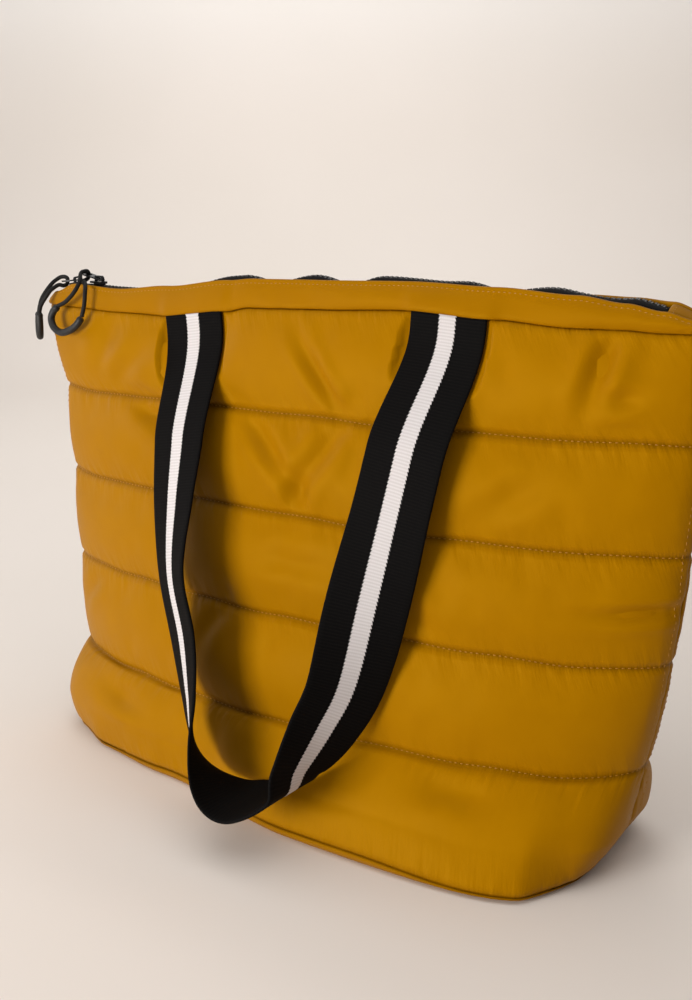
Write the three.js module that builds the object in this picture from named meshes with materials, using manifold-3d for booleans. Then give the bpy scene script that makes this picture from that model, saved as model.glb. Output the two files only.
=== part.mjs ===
// Quilted tote bag: front and back walls of five puffed channels, a padded base, a folded band
// round the mouth, a zip with two corded pulls, and two striped webbing handles.
// Millimetres. X runs along the bag, Y from the front (-) to the back (+), Z up from the floor.
import * as THREE from "three";
import { mergeVertices } from "three/addons/utils/BufferGeometryUtils.js";
import Module from "manifold-3d";

const wasm = await Module();
wasm.setup();

// Bag body
const TOP_WIDTH = 504; // along the bag at the band seam
const TOP_DEPTH = 28; // front to back at the band seam
const BASE_WIDTH = 424; // along the bag at the base seam
const BASE_DEPTH = 152; // front to back at the base seam
const FLOOR_WIDTH = 396; // the flat that rests on the floor
const FLOOR_DEPTH = 146;
const BODY_HEIGHT = 320; // floor to the band seam
const BASE_SEAM = 12; // floor to the base seam
const BASE_SHIFT = -11; // the base sits a little to the left of the mouth
const WALL = 3; // quilting pressed flat at a seam
const BASE_WALL = 4;
const PUFF = 8; // swell of a channel outwards
const PUFF_ENDS = 0.4; // of the swell, at the bag's ends
const INNER_PUFF = 3; // swell of a channel inwards
const SEAM_FADE = 34; // the swell fades over this distance from a side seam
const CLEARANCE = 0.3; // between neighbouring pieces

// Band round the mouth
const BAND_HEIGHT = 20;
const BAND_PROUD = 3.4; // the band's lower edge stands out over the panel and the webbing
const BAND_WALL = 3;
const MOUTH_DEPTH = 20; // front to back at the band's top edge
const MOUTH_SQUARE = 5;

// Zip
const ZIP_LEFT_IN = 22; // from the mouth's left end in to the tape's
const ZIP_RIGHT_IN = 30; // from the mouth's right end in to the tape's
const ZIP_WAVE = 3; // the crest of the zip rises and falls by this
const ZIP_SWAY = 2.5; // the crest leans back by this towards its right end
const TAPE = 1;
const TAPE_FLAT = 4.8; // the tape is level out to here from the crest
const TAPE_DROP = 4; // the tape meets the band this far under its top edge
const CHAIN_WIDTH = 4;
const CHAIN_HEIGHT = 2.4;
const CHAIN_SHORT = 1; // the toothed row stops this far short of the tape's right end
const TAB_IN = 7; // from the mouth's ends in to the cloth tabs over the zip's ends
const TAB_THICK = 1.6;
const TAB_SUNK = 1; // under the band's top edge

// Sliders and pulls
const SLIDER_LENGTH = 13;
const SLIDER_WIDTH = 9;
const SLIDER_PLATE = 1.4;
const SLIDER_WEB = 3;
const SLIDER_RIGHT_IN = 51; // from the mouth's left end to each slider's middle
const SLIDER_LEFT_IN = 29.5;
const BRIDGE_LENGTH = 8;
const BRIDGE_HEIGHT = 4;
const BRIDGE_BAR = 1.2;
const BRIDGE_WIDTH = 2;
const PULL_REACH = 13; // bar under the bridge to the middle of the hole
const PULL_WIDTH = 8.4;
const PULL_PLATE = 1.1;
const PULL_HOLE = 5.6;
const PULL_TILT = 12; // the right pull leans up over the left slider
const PULL_LIFT = 5; // the left pull is held up by its cord
const CORD_DIAMETER = 3;
const GRIP_DIAMETER = 5.2;

// Handles
const WEBBING_WIDTH = 50;
const WEBBING = 2.2;
const HANDLE_SPREAD = 196; // between the middles of a handle's two ends
const HANDLE_STAND = 40; // how far the free handle hangs off the wall

// Fineness of the meshes
const ACROSS_STEPS = 28;
const ROWS_PER_CHANNEL = 5;
const BASE_STEPS = 40;
const ZIP_STEPS = 36;
const HANDLE_STEPS = 34;
const HANDLE_COLUMNS = 2;
const CORD_STEPS = 28;
const END_STEPS = 4;

// The body's outline from the base seam (up 0) to the band seam (up 1). shift is a share of
// BASE_SHIFT, width and depth go from the base's size (0) to the mouth's (1), and square is the
// exponent of the rounded oblong.
const OUTLINE = [
  { up: 0, shift: 1, width: 0, depth: 0, square: 4.8 },
  { up: 0.06, shift: 0.75, width: 0.24, depth: 0.13, square: 4.1 },
  { up: 0.17, shift: 0.3, width: 0.32, depth: 0.19, square: 2.1 },
  { up: 0.39, shift: 0.06, width: 0.56, depth: 0.4, square: 2.05 },
  { up: 0.6, shift: -0.16, width: 0.69, depth: 0.58, square: 2.0 },
  { up: 0.8, shift: -0.27, width: 0.77, depth: 0.8, square: 2.2 },
  { up: 1, shift: 0, width: 1, depth: 1, square: 3 },
];

// Heights of the quilting seams, base seam and band seam included.
const SEAMS = [0, 0.169, 0.387, 0.597, 0.799, 1];

// The base from its rim down to the floor: rise is a share of BASE_SEAM, inset goes from the base
// seam's size (0) to the floor's (1).
const BASE_EDGE = [
  { rise: 1, inset: 0 },
  { rise: 0.5, inset: 0.2 },
  { rise: 0.15, inset: 0.6 },
  { rise: 0, inset: 1 },
];

// The lowest channel sags forward on the right and is drawn in on the left, as the soft base turns a
// little under the mouth: across is a share of half TOP_WIDTH, sag a share of the half depth. It is
// whole at the base seam and fades to none at the first quilting seam.
const SAG = [
  { across: -1, sag: -0.2 },
  { across: -0.79, sag: -0.2 },
  { across: -0.65, sag: -0.1 },
  { across: -0.4, sag: -0.02 },
  { across: 0.1, sag: 0.24 },
  { across: 0.56, sag: 0.23 },
  { across: 0.7, sag: 0.23 },
  { across: 0.79, sag: 0 },
  { across: 1, sag: 0 },
];

// The mouth's line along the bag: across is a share of half TOP_WIDTH; seam, front and back are the
// heights of the band seam and of the two top edges over BODY_HEIGHT, as shares of BAND_HEIGHT.
const MOUTH_LINE = [
  { across: -1, seam: -0.05, front: 0.12, back: 0.12 },
  { across: -0.95, seam: -0.05, front: 0.4, back: 0.35 },
  { across: -0.87, seam: -0.1, front: 0.69, back: 0.5 },
  { across: -0.69, seam: -0.18, front: 0.57, back: 0.32 },
  { across: -0.5, seam: -0.22, front: 0.73, back: 0.47 },
  { across: -0.28, seam: 0.03, front: 0.98, back: 0.74 },
  { across: -0.2, seam: 0.18, front: 1.05, back: 0.78 },
  { across: 0, seam: 0.22, front: 1.06, back: 0.8 },
  { across: 0.28, seam: 0.31, front: 1.09, back: 0.84 },
  { across: 0.5, seam: 0.15, front: 0.99, back: 0.76 },
  { across: 0.69, seam: 0, front: 0.83, back: 0.78 },
  { across: 0.8, seam: 0, front: 0.65, back: 0.74 },
  { across: 0.88, seam: -0.05, front: 0.47, back: 0.66 },
  { across: 0.95, seam: -0.05, front: 0.26, back: 0.4 },
  { across: 1, seam: -0.05, front: 0.12, back: 0.12 },
];

// The zip's crest: rise is a share of ZIP_WAVE over the front top edge, sway of ZIP_SWAY.
const CREST = [
  { across: -1, rise: 0, sway: 0 },
  { across: -0.89, rise: 0, sway: 0 },
  { across: -0.7, rise: 0.2, sway: 0 },
  { across: -0.515, rise: -1, sway: 0 },
  { across: -0.255, rise: 0.8, sway: 0 },
  { across: -0.155, rise: -0.9, sway: 0 },
  { across: -0.02, rise: 0.8, sway: 0 },
  { across: 0.08, rise: -0.9, sway: 0 },
  { across: 0.18, rise: 0.7, sway: 0 },
  { across: 0.34, rise: 0.1, sway: 0 },
  { across: 0.41, rise: 0.4, sway: 0 },
  { across: 0.5, rise: -0.9, sway: 0.2 },
  { across: 0.63, rise: 0.7, sway: 0.6 },
  { across: 0.72, rise: -0.2, sway: 1 },
  { across: 0.81, rise: 0.7, sway: 1 },
  { across: 1, rise: 0.3, sway: 0.6 },
];

// Dents and folds of the front wall: across is a share of half TOP_WIDTH, up of the wall's height,
// wide and tall are their half sizes as shares of TOP_WIDTH and BODY_HEIGHT, deep is a share of PUFF.
const DENTS = [
  { across: -0.39, up: 0.97, wide: 0.06, tall: 0.05, deep: 0.55 },
  { across: 0.39, up: 0.97, wide: 0.06, tall: 0.05, deep: 0.55 },
  { across: 0.79, up: 0.93, wide: 0.03, tall: 0.06, deep: 0.6 },
  { across: 0.05, up: 0.88, wide: 0.03, tall: 0.06, deep: 0.5 },
  { across: 0, up: 0.68, wide: 0.035, tall: 0.06, deep: 0.5 },
  { across: -0.63, up: 0.87, wide: 0.05, tall: 0.035, deep: 0.6 },
  { across: -0.53, up: 0.77, wide: 0.05, tall: 0.03, deep: 0.8 },
  { across: 0.02, up: 0.5, wide: 0.06, tall: 0.03, deep: 0.4 },
  { across: 0.88, up: 0.5, wide: 0.035, tall: 0.03, deep: 0.5 },
  { across: -0.65, up: 0.12, wide: 0.06, tall: 0.035, deep: 0.5 },
  { across: 0.51, up: 0.13, wide: 0.05, tall: 0.03, deep: 0.5 },
];

// A handle's middle line: across is a share of half HANDLE_SPREAD, up of the wall's height, stand of
// HANDLE_STAND off the wall; turn and lean give the heading and tilt of its width in degrees.
const HANDLE_LINE = [
  { across: -1, up: 1, stand: 0, turn: 0, lean: 0 },
  { across: -0.97, up: 0.904, stand: 0.34, turn: -6, lean: 8 },
  { across: -0.9, up: 0.757, stand: 0.44, turn: -7, lean: 10 },
  { across: -0.84, up: 0.613, stand: 0.62, turn: -16, lean: 14 },
  { across: -0.76, up: 0.469, stand: 0.79, turn: -28, lean: 18 },
  { across: -0.63, up: 0.339, stand: 0.76, turn: -29, lean: 19 },
  { across: -0.53, up: 0.226, stand: 0.78, turn: -37, lean: 19 },
  { across: -0.39, up: 0.133, stand: 0.94, turn: -51, lean: 26 },
  { across: -0.15, up: 0.076, stand: 1.04, turn: -69, lean: 6 },
  { across: 0.11, up: 0.066, stand: 1.09, turn: -88, lean: -5 },
  { across: 0.4, up: 0.106, stand: 1.02, turn: -83, lean: 10 },
  { across: 0.47, up: 0.156, stand: 0.99, turn: -99, lean: 15 },
  { across: 0.58, up: 0.236, stand: 0.84, turn: -118, lean: 22 },
  { across: 0.68, up: 0.324, stand: 0.71, turn: -129, lean: 20 },
  { across: 0.75, up: 0.483, stand: 0.57, turn: -155, lean: 15 },
  { across: 0.82, up: 0.631, stand: 0.48, turn: -173, lean: 11 },
  { across: 0.9, up: 0.78, stand: 0.49, turn: -177, lean: 9 },
  { across: 0.97, up: 0.93, stand: 0.4, turn: -178, lean: 6 },
  { across: 1, up: 1, stand: 0, turn: -180, lean: 0 },
];

// Pull cords as they hang: the looped cord from one end of its grip, through the hole of the pull
// tab and back to the grip's other end, and the grip's own bend. Offsets from the hole's middle.
const CORD_RIGHT = [
  [-13.4, -19.8, -21.1],
  [-7.9, -19.6, -19.1],
  [-3.4, -19.4, -16.6],
  [3, -18.4, -11],
  [4.2, -13.8, -4.4],
  [0, -7.6, 1.6],
  [0.6, -3.6, 2.9],
  [0.1, -0.9, 2.4],
  [0, 0, 0],
  [0.2, -1.2, -2.2],
  [0.4, -3.6, -3.3],
  [1.2, -7.2, -3.9],
  [5, -9.4, -4.4],
  [8.8, -12.6, -5.2],
  [13.8, -17.8, -10],
  [14, -20, -19.7],
  [11.3, -20.6, -27.9],
];
const GRIP_RIGHT = [
  [-14, -19.9, -21.6],
  [-18.4, -20.6, -25.5],
  [-19.9, -21.6, -30.7],
  [-16.4, -22.8, -36.7],
  [-8.4, -23.4, -39.9],
  [1.6, -23.4, -37.5],
  [8.2, -22.6, -33.1],
  [11.1, -20.9, -28.6],
];
const CORD_LEFT = [
  [-23.7, -9.6, -22.4],
  [-21.7, -10, -18.2],
  [-16.7, -10.8, -11.2],
  [-11, -6.4, -2.2],
  [-7, -1.8, 2.2],
  [-3.4, -0.3, 3],
  [-0.7, 0, 2.2],
  [0, 0, 0],
  [0.1, -1.4, -2.4],
  [-0.8, -4, -3.2],
  [-2.6, -7, -2.6],
  [-5.6, -11.8, -5.8],
  [-8.4, -14.6, -10.5],
  [-12.5, -16.6, -16.7],
  [-14.9, -16.8, -22],
];
const GRIP_LEFT = [
  [-24, -9.5, -23],
  [-25.3, -9.2, -29.2],
  [-24.5, -10.4, -36.4],
  [-20.5, -13.4, -40.6],
  [-16.7, -16.2, -36.2],
  [-15.3, -17, -28.8],
  [-15.1, -16.9, -22.7],
];

const MUSTARD = new THREE.MeshStandardMaterial({ color: 0xb87c08, roughness: 0.5, metalness: 0 });
const MUSTARD_BAND = new THREE.MeshStandardMaterial({ color: 0xb47906, roughness: 0.5, metalness: 0 });
const MUSTARD_BASE = new THREE.MeshStandardMaterial({ color: 0xa87008, roughness: 0.55, metalness: 0 });
const BLACK_TAPE = new THREE.MeshStandardMaterial({ color: 0x141416, roughness: 0.85, metalness: 0 });
const GREY_TEETH = new THREE.MeshStandardMaterial({ color: 0x4a4a4c, roughness: 0.45, metalness: 0 });
const BLACK_METAL = new THREE.MeshStandardMaterial({ color: 0x1a1a1c, roughness: 0.35, metalness: 0.8 });
const BLACK_CORD = new THREE.MeshStandardMaterial({ color: 0x101012, roughness: 0.8, metalness: 0 });
const BLACK_GRIP = new THREE.MeshStandardMaterial({ color: 0x1c1c1e, roughness: 0.6, metalness: 0 });
const BLACK_WEBBING = new THREE.MeshStandardMaterial({ color: 0x101014, roughness: 0.8, metalness: 0 });

const bag = new THREE.Group();
bag.name = "quilted_tote_bag";

const mouthEnd = TOP_WIDTH / 2;
const zipLeft = -mouthEnd + ZIP_LEFT_IN;
const zipRight = mouthEnd - ZIP_RIGHT_IN;

function mix(a, b, t) {
  return a + (b - a) * t;
}

// A table's column at a place along its first column.
function lookUp(table, place, column, at) {
  let i = 0;
  while (i < table.length - 2 && at > table[i + 1][place]) {
    i += 1;
  }
  const a = table[i];
  const b = table[i + 1];
  const t = THREE.MathUtils.clamp((at - a[place]) / (b[place] - a[place]), 0, 1);
  return mix(a[column], b[column], t);
}

// The same with an eased run between rows.
function lookUpSmooth(table, place, column, at) {
  let i = 0;
  while (i < table.length - 2 && at > table[i + 1][place]) {
    i += 1;
  }
  const a = table[i];
  const b = table[i + 1];
  const t = THREE.MathUtils.clamp((at - a[place]) / (b[place] - a[place]), 0, 1);
  return mix(a[column], b[column], t * t * (3 - 2 * t));
}

// Height of the band seam, or of the front or back top edge, at x. The line is straight between the
// columns that the panels and the bands share.
function mouthHeight(x, column) {
  const read = column === "seam" ? lookUp : lookUpSmooth;
  const share = THREE.MathUtils.clamp(x / mouthEnd, -1, 1);
  const place = ACROSS_STEPS * (1 - Math.acos(share) / Math.PI);
  const j = Math.min(ACROSS_STEPS - 1, Math.floor(place));
  const left = -Math.cos((Math.PI * j) / ACROSS_STEPS);
  const right = -Math.cos((Math.PI * (j + 1)) / ACROSS_STEPS);
  const a = read(MOUTH_LINE, "across", column, left);
  const b = read(MOUTH_LINE, "across", column, right);
  return BODY_HEIGHT + BAND_HEIGHT * mix(a, b, (share - left) / (right - left));
}

// The body's outline at a height: middle, half width, half depth and squareness.
function outlineAt(up) {
  return {
    middle: BASE_SHIFT * lookUp(OUTLINE, "up", "shift", up),
    half: mix(BASE_WIDTH, TOP_WIDTH, lookUp(OUTLINE, "up", "width", up)) / 2,
    deep: mix(BASE_DEPTH, TOP_DEPTH, lookUp(OUTLINE, "up", "depth", up)) / 2,
    square: lookUp(OUTLINE, "up", "square", up),
  };
}

// A rounded oblong's half depth at a distance x from its middle.
function depthAt(half, deep, square, x) {
  return deep * Math.max(0, 1 - Math.min(1, Math.abs(x) / half) ** square) ** (1 / square);
}

// A rounded oblong's point: turn 0 is its left end, 0.5 its front, 1 its right end.
function oblong(middle, half, deep, square, turn) {
  const out = -half * Math.cos(Math.PI * turn);
  return { x: middle + out, y: depthAt(half, deep, square, out) };
}

// Swell of the quilting, 0 on a seam and 1 on the crown of a channel.
function swell(up) {
  let i = 0;
  while (i < SEAMS.length - 2 && up > SEAMS[i + 1]) {
    i += 1;
  }
  const t = THREE.MathUtils.clamp((up - SEAMS[i]) / (SEAMS[i + 1] - SEAMS[i]), 0, 1);
  return Math.sin(Math.PI * t) ** 0.7;
}

function dent(x, up) {
  let sum = 0;
  for (const d of DENTS) {
    const dx = (x - (d.across * TOP_WIDTH) / 2) / (d.wide * TOP_WIDTH);
    const dz = ((up - d.up) * (BODY_HEIGHT - BASE_SEAM)) / (d.tall * BODY_HEIGHT);
    sum += d.deep * PUFF * Math.exp(-dx * dx - dz * dz);
  }
  return sum;
}

function wallHeight(x, up) {
  const last = SEAMS[SEAMS.length - 2];
  const plain = mix(BASE_SEAM, BODY_HEIGHT, Math.min(up, last));
  if (up <= last) {
    return plain;
  }
  return mix(plain, mouthHeight(x, "seam") - CLEARANCE, (up - last) / (1 - last));
}

// How far the front (side -1) or the back (side 1), which is the front turned round, stands out at
// its foot, as a factor of its depth.
function sagging(side, x, up) {
  const left = Math.max(0, 1 - up / SEAMS[1]) ** 2;
  return 1 + lookUpSmooth(SAG, "across", "sag", (-side * x) / mouthEnd) * left;
}

// A point of a wall. side is -1 for the front and 1 for the back, turned round so that its folds
// differ; layer 0 is the outside and 1 the inside.
function wallPoint(side, turn, up, layer) {
  const o = outlineAt(up);
  const flat = oblong(o.middle, o.half, o.deep, o.square, turn);
  const edge = Math.min(flat.x - o.middle + o.half, o.middle + o.half - flat.x) / SEAM_FADE;
  const fade = Math.sqrt(THREE.MathUtils.clamp(edge + flat.y / SEAM_FADE, 0, 1));
  const puff = swell(up) * fade;
  const out = layer === 0 ? puff * PUFF : -WALL - puff * INNER_PUFF;
  const p = oblong(o.middle, o.half + out * (layer === 0 ? PUFF_ENDS : 1), o.deep + out, o.square, turn);
  const press = puff > 0 ? dent(-side * p.x, up) * Math.sqrt(puff) : 0;
  const y = Math.max(p.y * sagging(side, p.x, up) - press, CLEARANCE / 2);
  return new THREE.Vector3(p.x, side * y, wallHeight(flat.x, up));
}

// A closed solid between an outer and an inner grid of points, rows of equal length.
function shellGeometry(outer, inner, flip) {
  const rows = outer.length;
  const cols = outer[0].length;
  const positions = [];
  for (const grid of [outer, inner]) {
    for (const row of grid) {
      for (const p of row) {
        positions.push(p.x, p.y, p.z);
      }
    }
  }
  const faces = [];
  function quad(a, b, c, d) {
    if (flip) {
      faces.push(a, c, b, a, d, c);
    } else {
      faces.push(a, b, c, a, c, d);
    }
  }
  const at = (layer, i, j) => layer * rows * cols + i * cols + j;
  for (let i = 0; i < rows - 1; i += 1) {
    for (let j = 0; j < cols - 1; j += 1) {
      quad(at(0, i, j), at(0, i, j + 1), at(0, i + 1, j + 1), at(0, i + 1, j));
      quad(at(1, i, j), at(1, i + 1, j), at(1, i + 1, j + 1), at(1, i, j + 1));
    }
  }
  for (let j = 0; j < cols - 1; j += 1) {
    quad(at(0, 0, j + 1), at(0, 0, j), at(1, 0, j), at(1, 0, j + 1));
    quad(at(0, rows - 1, j), at(0, rows - 1, j + 1), at(1, rows - 1, j + 1), at(1, rows - 1, j));
  }
  for (let i = 0; i < rows - 1; i += 1) {
    quad(at(0, i, 0), at(0, i + 1, 0), at(1, i + 1, 0), at(1, i, 0));
    quad(at(0, i + 1, cols - 1), at(0, i, cols - 1), at(1, i, cols - 1), at(1, i + 1, cols - 1));
  }
  const geometry = new THREE.BufferGeometry();
  geometry.setAttribute("position", new THREE.Float32BufferAttribute(positions, 3));
  geometry.setIndex(faces);
  geometry.computeVertexNormals();
  return geometry;
}

// A closed solid through a run of rings, each turning left about the way it travels.
function loftGeometry(rings) {
  const count = rings[0].length;
  const positions = [];
  for (const ring of rings) {
    for (const p of ring) {
      positions.push(p.x, p.y, p.z);
    }
  }
  const faces = [];
  for (let i = 0; i < rings.length - 1; i += 1) {
    for (let j = 0; j < count; j += 1) {
      const k = (j + 1) % count;
      const a = i * count + j;
      const b = i * count + k;
      faces.push(a, b, b + count, a, b + count, a + count);
    }
  }
  for (const end of [0, rings.length - 1]) {
    const middle = new THREE.Vector3();
    for (const p of rings[end]) {
      middle.addScaledVector(p, 1 / count);
    }
    const hub = positions.length / 3;
    positions.push(middle.x, middle.y, middle.z);
    for (let j = 0; j < count; j += 1) {
      const a = end * count + j;
      const b = end * count + ((j + 1) % count);
      if (end === 0) {
        faces.push(hub, b, a);
      } else {
        faces.push(hub, a, b);
      }
    }
  }
  const geometry = new THREE.BufferGeometry();
  geometry.setAttribute("position", new THREE.Float32BufferAttribute(positions, 3));
  geometry.setIndex(faces);
  geometry.computeVertexNormals();
  return geometry;
}

function addPiece(name, geometry, material) {
  const mesh = new THREE.Mesh(geometry, material);
  mesh.name = name;
  bag.add(mesh);
  return mesh;
}

// Rows of the wall: every seam is a row, with even rows between.
const wallRows = [];
for (let i = 0; i < SEAMS.length - 1; i += 1) {
  for (let k = 0; k < ROWS_PER_CHANNEL; k += 1) {
    wallRows.push(mix(SEAMS[i], SEAMS[i + 1], k / ROWS_PER_CHANNEL));
  }
}
wallRows.push(1);

function panelGeometry(side) {
  const layers = [0, 1].map((layer) =>
    wallRows.map((up) => {
      const row = [];
      for (let j = 0; j <= ACROSS_STEPS; j += 1) {
        row.push(wallPoint(side, j / ACROSS_STEPS, up, layer));
      }
      return row;
    }),
  );
  return shellGeometry(layers[0], layers[1], side > 0);
}

addPiece("front_panel", panelGeometry(-1), MUSTARD);
addPiece("back_panel", panelGeometry(1), MUSTARD);

// A full ring of the base, turning left seen from above.
function baseRing(half, deep, square, shift, z) {
  const ring = [];
  for (let j = 0; j < BASE_STEPS; j += 1) {
    const angle = (2 * Math.PI * j) / BASE_STEPS;
    const c = Math.cos(angle);
    const s = Math.sin(angle);
    const x = shift + half * Math.sign(c) * Math.abs(c) ** (2 / square);
    const y = deep * Math.sign(s) * Math.abs(s) ** (2 / square);
    ring.push(new THREE.Vector3(x, y * sagging(Math.sign(y), x, 0), z));
  }
  return ring;
}

const foot = outlineAt(0);
const rimTop = BASE_SEAM - CLEARANCE;
const baseRings = [baseRing(FLOOR_WIDTH / 4, FLOOR_DEPTH / 4, foot.square, foot.middle, 0)];
for (const row of [...BASE_EDGE].reverse()) {
  const half = mix(BASE_WIDTH, FLOOR_WIDTH, row.inset) / 2;
  const deep = mix(BASE_DEPTH, FLOOR_DEPTH, row.inset) / 2;
  baseRings.push(baseRing(half, deep, foot.square, foot.middle, rimTop * row.rise));
}
baseRings.push(baseRing(BASE_WIDTH / 2 - WALL, BASE_DEPTH / 2 - WALL, foot.square, foot.middle, rimTop));
baseRings.push(
  baseRing(FLOOR_WIDTH / 2 - WALL, FLOOR_DEPTH / 2 - BASE_WALL, foot.square, foot.middle, BASE_WALL),
);
baseRings.push(baseRing(FLOOR_WIDTH / 4, FLOOR_DEPTH / 4, foot.square, foot.middle, BASE_WALL));
addPiece("base_panel", loftGeometry(baseRings), MUSTARD_BASE);

// The band's section at a share t of its height.
function bandOutline(t, layer) {
  const seam = outlineAt(1);
  const outside = {
    half: mix(seam.half + BAND_PROUD / 2, seam.half, t),
    deep: mix(seam.deep + BAND_PROUD, MOUTH_DEPTH / 2, t),
    square: mix(seam.square, MOUTH_SQUARE, t),
  };
  if (layer === 0) {
    return outside;
  }
  const thick = mix(WALL + BAND_PROUD, BAND_WALL, Math.min(1, 3 * t));
  return { half: outside.half - BAND_WALL, deep: outside.deep - thick, square: outside.square };
}

const BAND_ROWS = [0, 0.3, 0.65, 0.93, 1];

function bandGeometry(side) {
  const column = side < 0 ? "front" : "back";
  const seam = outlineAt(1);
  const layers = [0, 1].map((layer) =>
    BAND_ROWS.map((t) => {
      const o = bandOutline(t, layer);
      const soft = layer === 0 && t > 0 && t < 1 ? Math.sin(Math.PI * t) * 0.8 : 0;
      const row = [];
      for (let j = 0; j <= ACROSS_STEPS; j += 1) {
        const turn = j / ACROSS_STEPS;
        const p = oblong(0, o.half, o.deep + soft, o.square, turn);
        const seamX = oblong(0, seam.half, seam.deep, seam.square, turn).x;
        const z = mix(mouthHeight(seamX, "seam"), mouthHeight(p.x, column), t);
        row.push(new THREE.Vector3(p.x, side * Math.max(p.y, CLEARANCE / 2), z));
      }
      return row;
    }),
  );
  return shellGeometry(layers[0], layers[1], side > 0);
}

addPiece("band_front", bandGeometry(-1), MUSTARD_BAND);
addPiece("band_back", bandGeometry(1), MUSTARD_BAND);

// The zip's crest at x.
function crestAt(x) {
  const across = x / mouthEnd;
  return {
    y: ZIP_SWAY * lookUpSmooth(CREST, "across", "sway", across),
    z: mouthHeight(x, "front") + ZIP_WAVE * lookUpSmooth(CREST, "across", "rise", across),
  };
}

// Half depth at x of a faceted rounded oblong.
function facetDepth(o, x) {
  for (let j = 0; j < ACROSS_STEPS; j += 1) {
    const a = oblong(0, o.half, o.deep, o.square, j / ACROSS_STEPS);
    const b = oblong(0, o.half, o.deep, o.square, (j + 1) / ACROSS_STEPS);
    if (x <= b.x) {
      return mix(a.y, b.y, THREE.MathUtils.clamp((x - a.x) / (b.x - a.x), 0, 1));
    }
  }
  return 0;
}

// The inside of a band at x and a height.
function bandInside(side, x, z) {
  const seam = mouthHeight(x, "seam");
  const top = mouthHeight(x, side < 0 ? "front" : "back");
  const t = THREE.MathUtils.clamp((z - seam) / (top - seam), 0, 1);
  let i = 0;
  while (i < BAND_ROWS.length - 2 && t > BAND_ROWS[i + 1]) {
    i += 1;
  }
  const low = facetDepth(bandOutline(BAND_ROWS[i], 1), x);
  const high = facetDepth(bandOutline(BAND_ROWS[i + 1], 1), x);
  return mix(low, high, (t - BAND_ROWS[i]) / (BAND_ROWS[i + 1] - BAND_ROWS[i]));
}

function tapeGeometry(side) {
  const rings = [];
  for (let i = 0; i <= ZIP_STEPS; i += 1) {
    const x = mix(zipLeft, zipRight, i / ZIP_STEPS);
    const crest = crestAt(x);
    const edge = mouthHeight(x, side < 0 ? "front" : "back");
    const level = crest.z - CHAIN_HEIGHT / 2 + TAPE / 2;
    const low = Math.min(edge, level) - TAPE_DROP;
    const wall = bandInside(side, x, low) - 4 * CLEARANCE;
    const lip = Math.min(wall, bandInside(side, x, Math.min(edge, level)) - 3 * CLEARANCE);
    const inner = crest.y * side + CHAIN_WIDTH / 2 + CLEARANCE;
    const flat = Math.min(crest.y * side + TAPE_FLAT, mix(inner, lip, 0.85));
    const top = [
      [inner, level],
      [flat, level],
      [lip, Math.min(edge, level) - TAPE / 2],
      [wall, low],
    ];
    const ring = [
      ...top.map(([y, z]) => new THREE.Vector3(x, side * y, z)),
      ...[...top].reverse().map(([y, z]) => new THREE.Vector3(x, side * y, z - TAPE)),
    ];
    rings.push(side < 0 ? ring : ring.reverse());
  }
  return loftGeometry(rings);
}

addPiece("zip_tape_front", tapeGeometry(-1), BLACK_TAPE);
addPiece("zip_tape_back", tapeGeometry(1), BLACK_TAPE);

// The toothed row, from the right slider to the zip's right end.
const chainLeft = -mouthEnd + SLIDER_RIGHT_IN + SLIDER_LENGTH / 2 + CLEARANCE;
const chainRings = [];
for (let i = 0; i <= ZIP_STEPS; i += 1) {
  const x = mix(chainLeft, zipRight - CHAIN_SHORT, i / ZIP_STEPS);
  const crest = crestAt(x);
  const w = CHAIN_WIDTH / 2;
  const h = CHAIN_HEIGHT / 2;
  const section = [
    [w, 0],
    [w * 0.6, h],
    [-w * 0.6, h],
    [-w, 0],
    [-w * 0.6, -h],
    [w * 0.6, -h],
  ];
  chainRings.push(section.map(([y, z]) => new THREE.Vector3(x, crest.y + y, crest.z - h + z)));
}
addPiece("zip_chain", loftGeometry(chainRings), GREY_TEETH);

// A closed geometry as a solid for joins and cuts, and back again.
function solidOf(geometry) {
  const g = geometry.clone();
  g.deleteAttribute("normal");
  g.deleteAttribute("uv");
  const merged = mergeVertices(g, 1e-4);
  const triVerts = new Uint32Array(merged.index.array);
  const vertProperties = new Float32Array(merged.attributes.position.array);
  return new wasm.Manifold(new wasm.Mesh({ numProp: 3, vertProperties, triVerts }));
}

function geometryOf(solid) {
  const mesh = solid.getMesh();
  const positions = [];
  for (let i = 0; i < mesh.numVert; i += 1) {
    for (let k = 0; k < 3; k += 1) {
      positions.push(mesh.vertProperties[i * mesh.numProp + k]);
    }
  }
  const geometry = new THREE.BufferGeometry();
  geometry.setAttribute("position", new THREE.Float32BufferAttribute(positions, 3));
  geometry.setIndex([...mesh.triVerts]);
  geometry.computeVertexNormals();
  return geometry;
}

function outlineShape(points) {
  return new THREE.Shape(points.map(([x, y]) => new THREE.Vector2(x, y)));
}

// A slider: two pointed plates on a web that parts the teeth, with a bridge over the upper plate
// for the pull to hang on. Its origin is level with the middle of the toothed row.
const sliderGap = CHAIN_HEIGHT + 5 * CLEARANCE;
const plateTop = sliderGap / 2 + SLIDER_PLATE;

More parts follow.
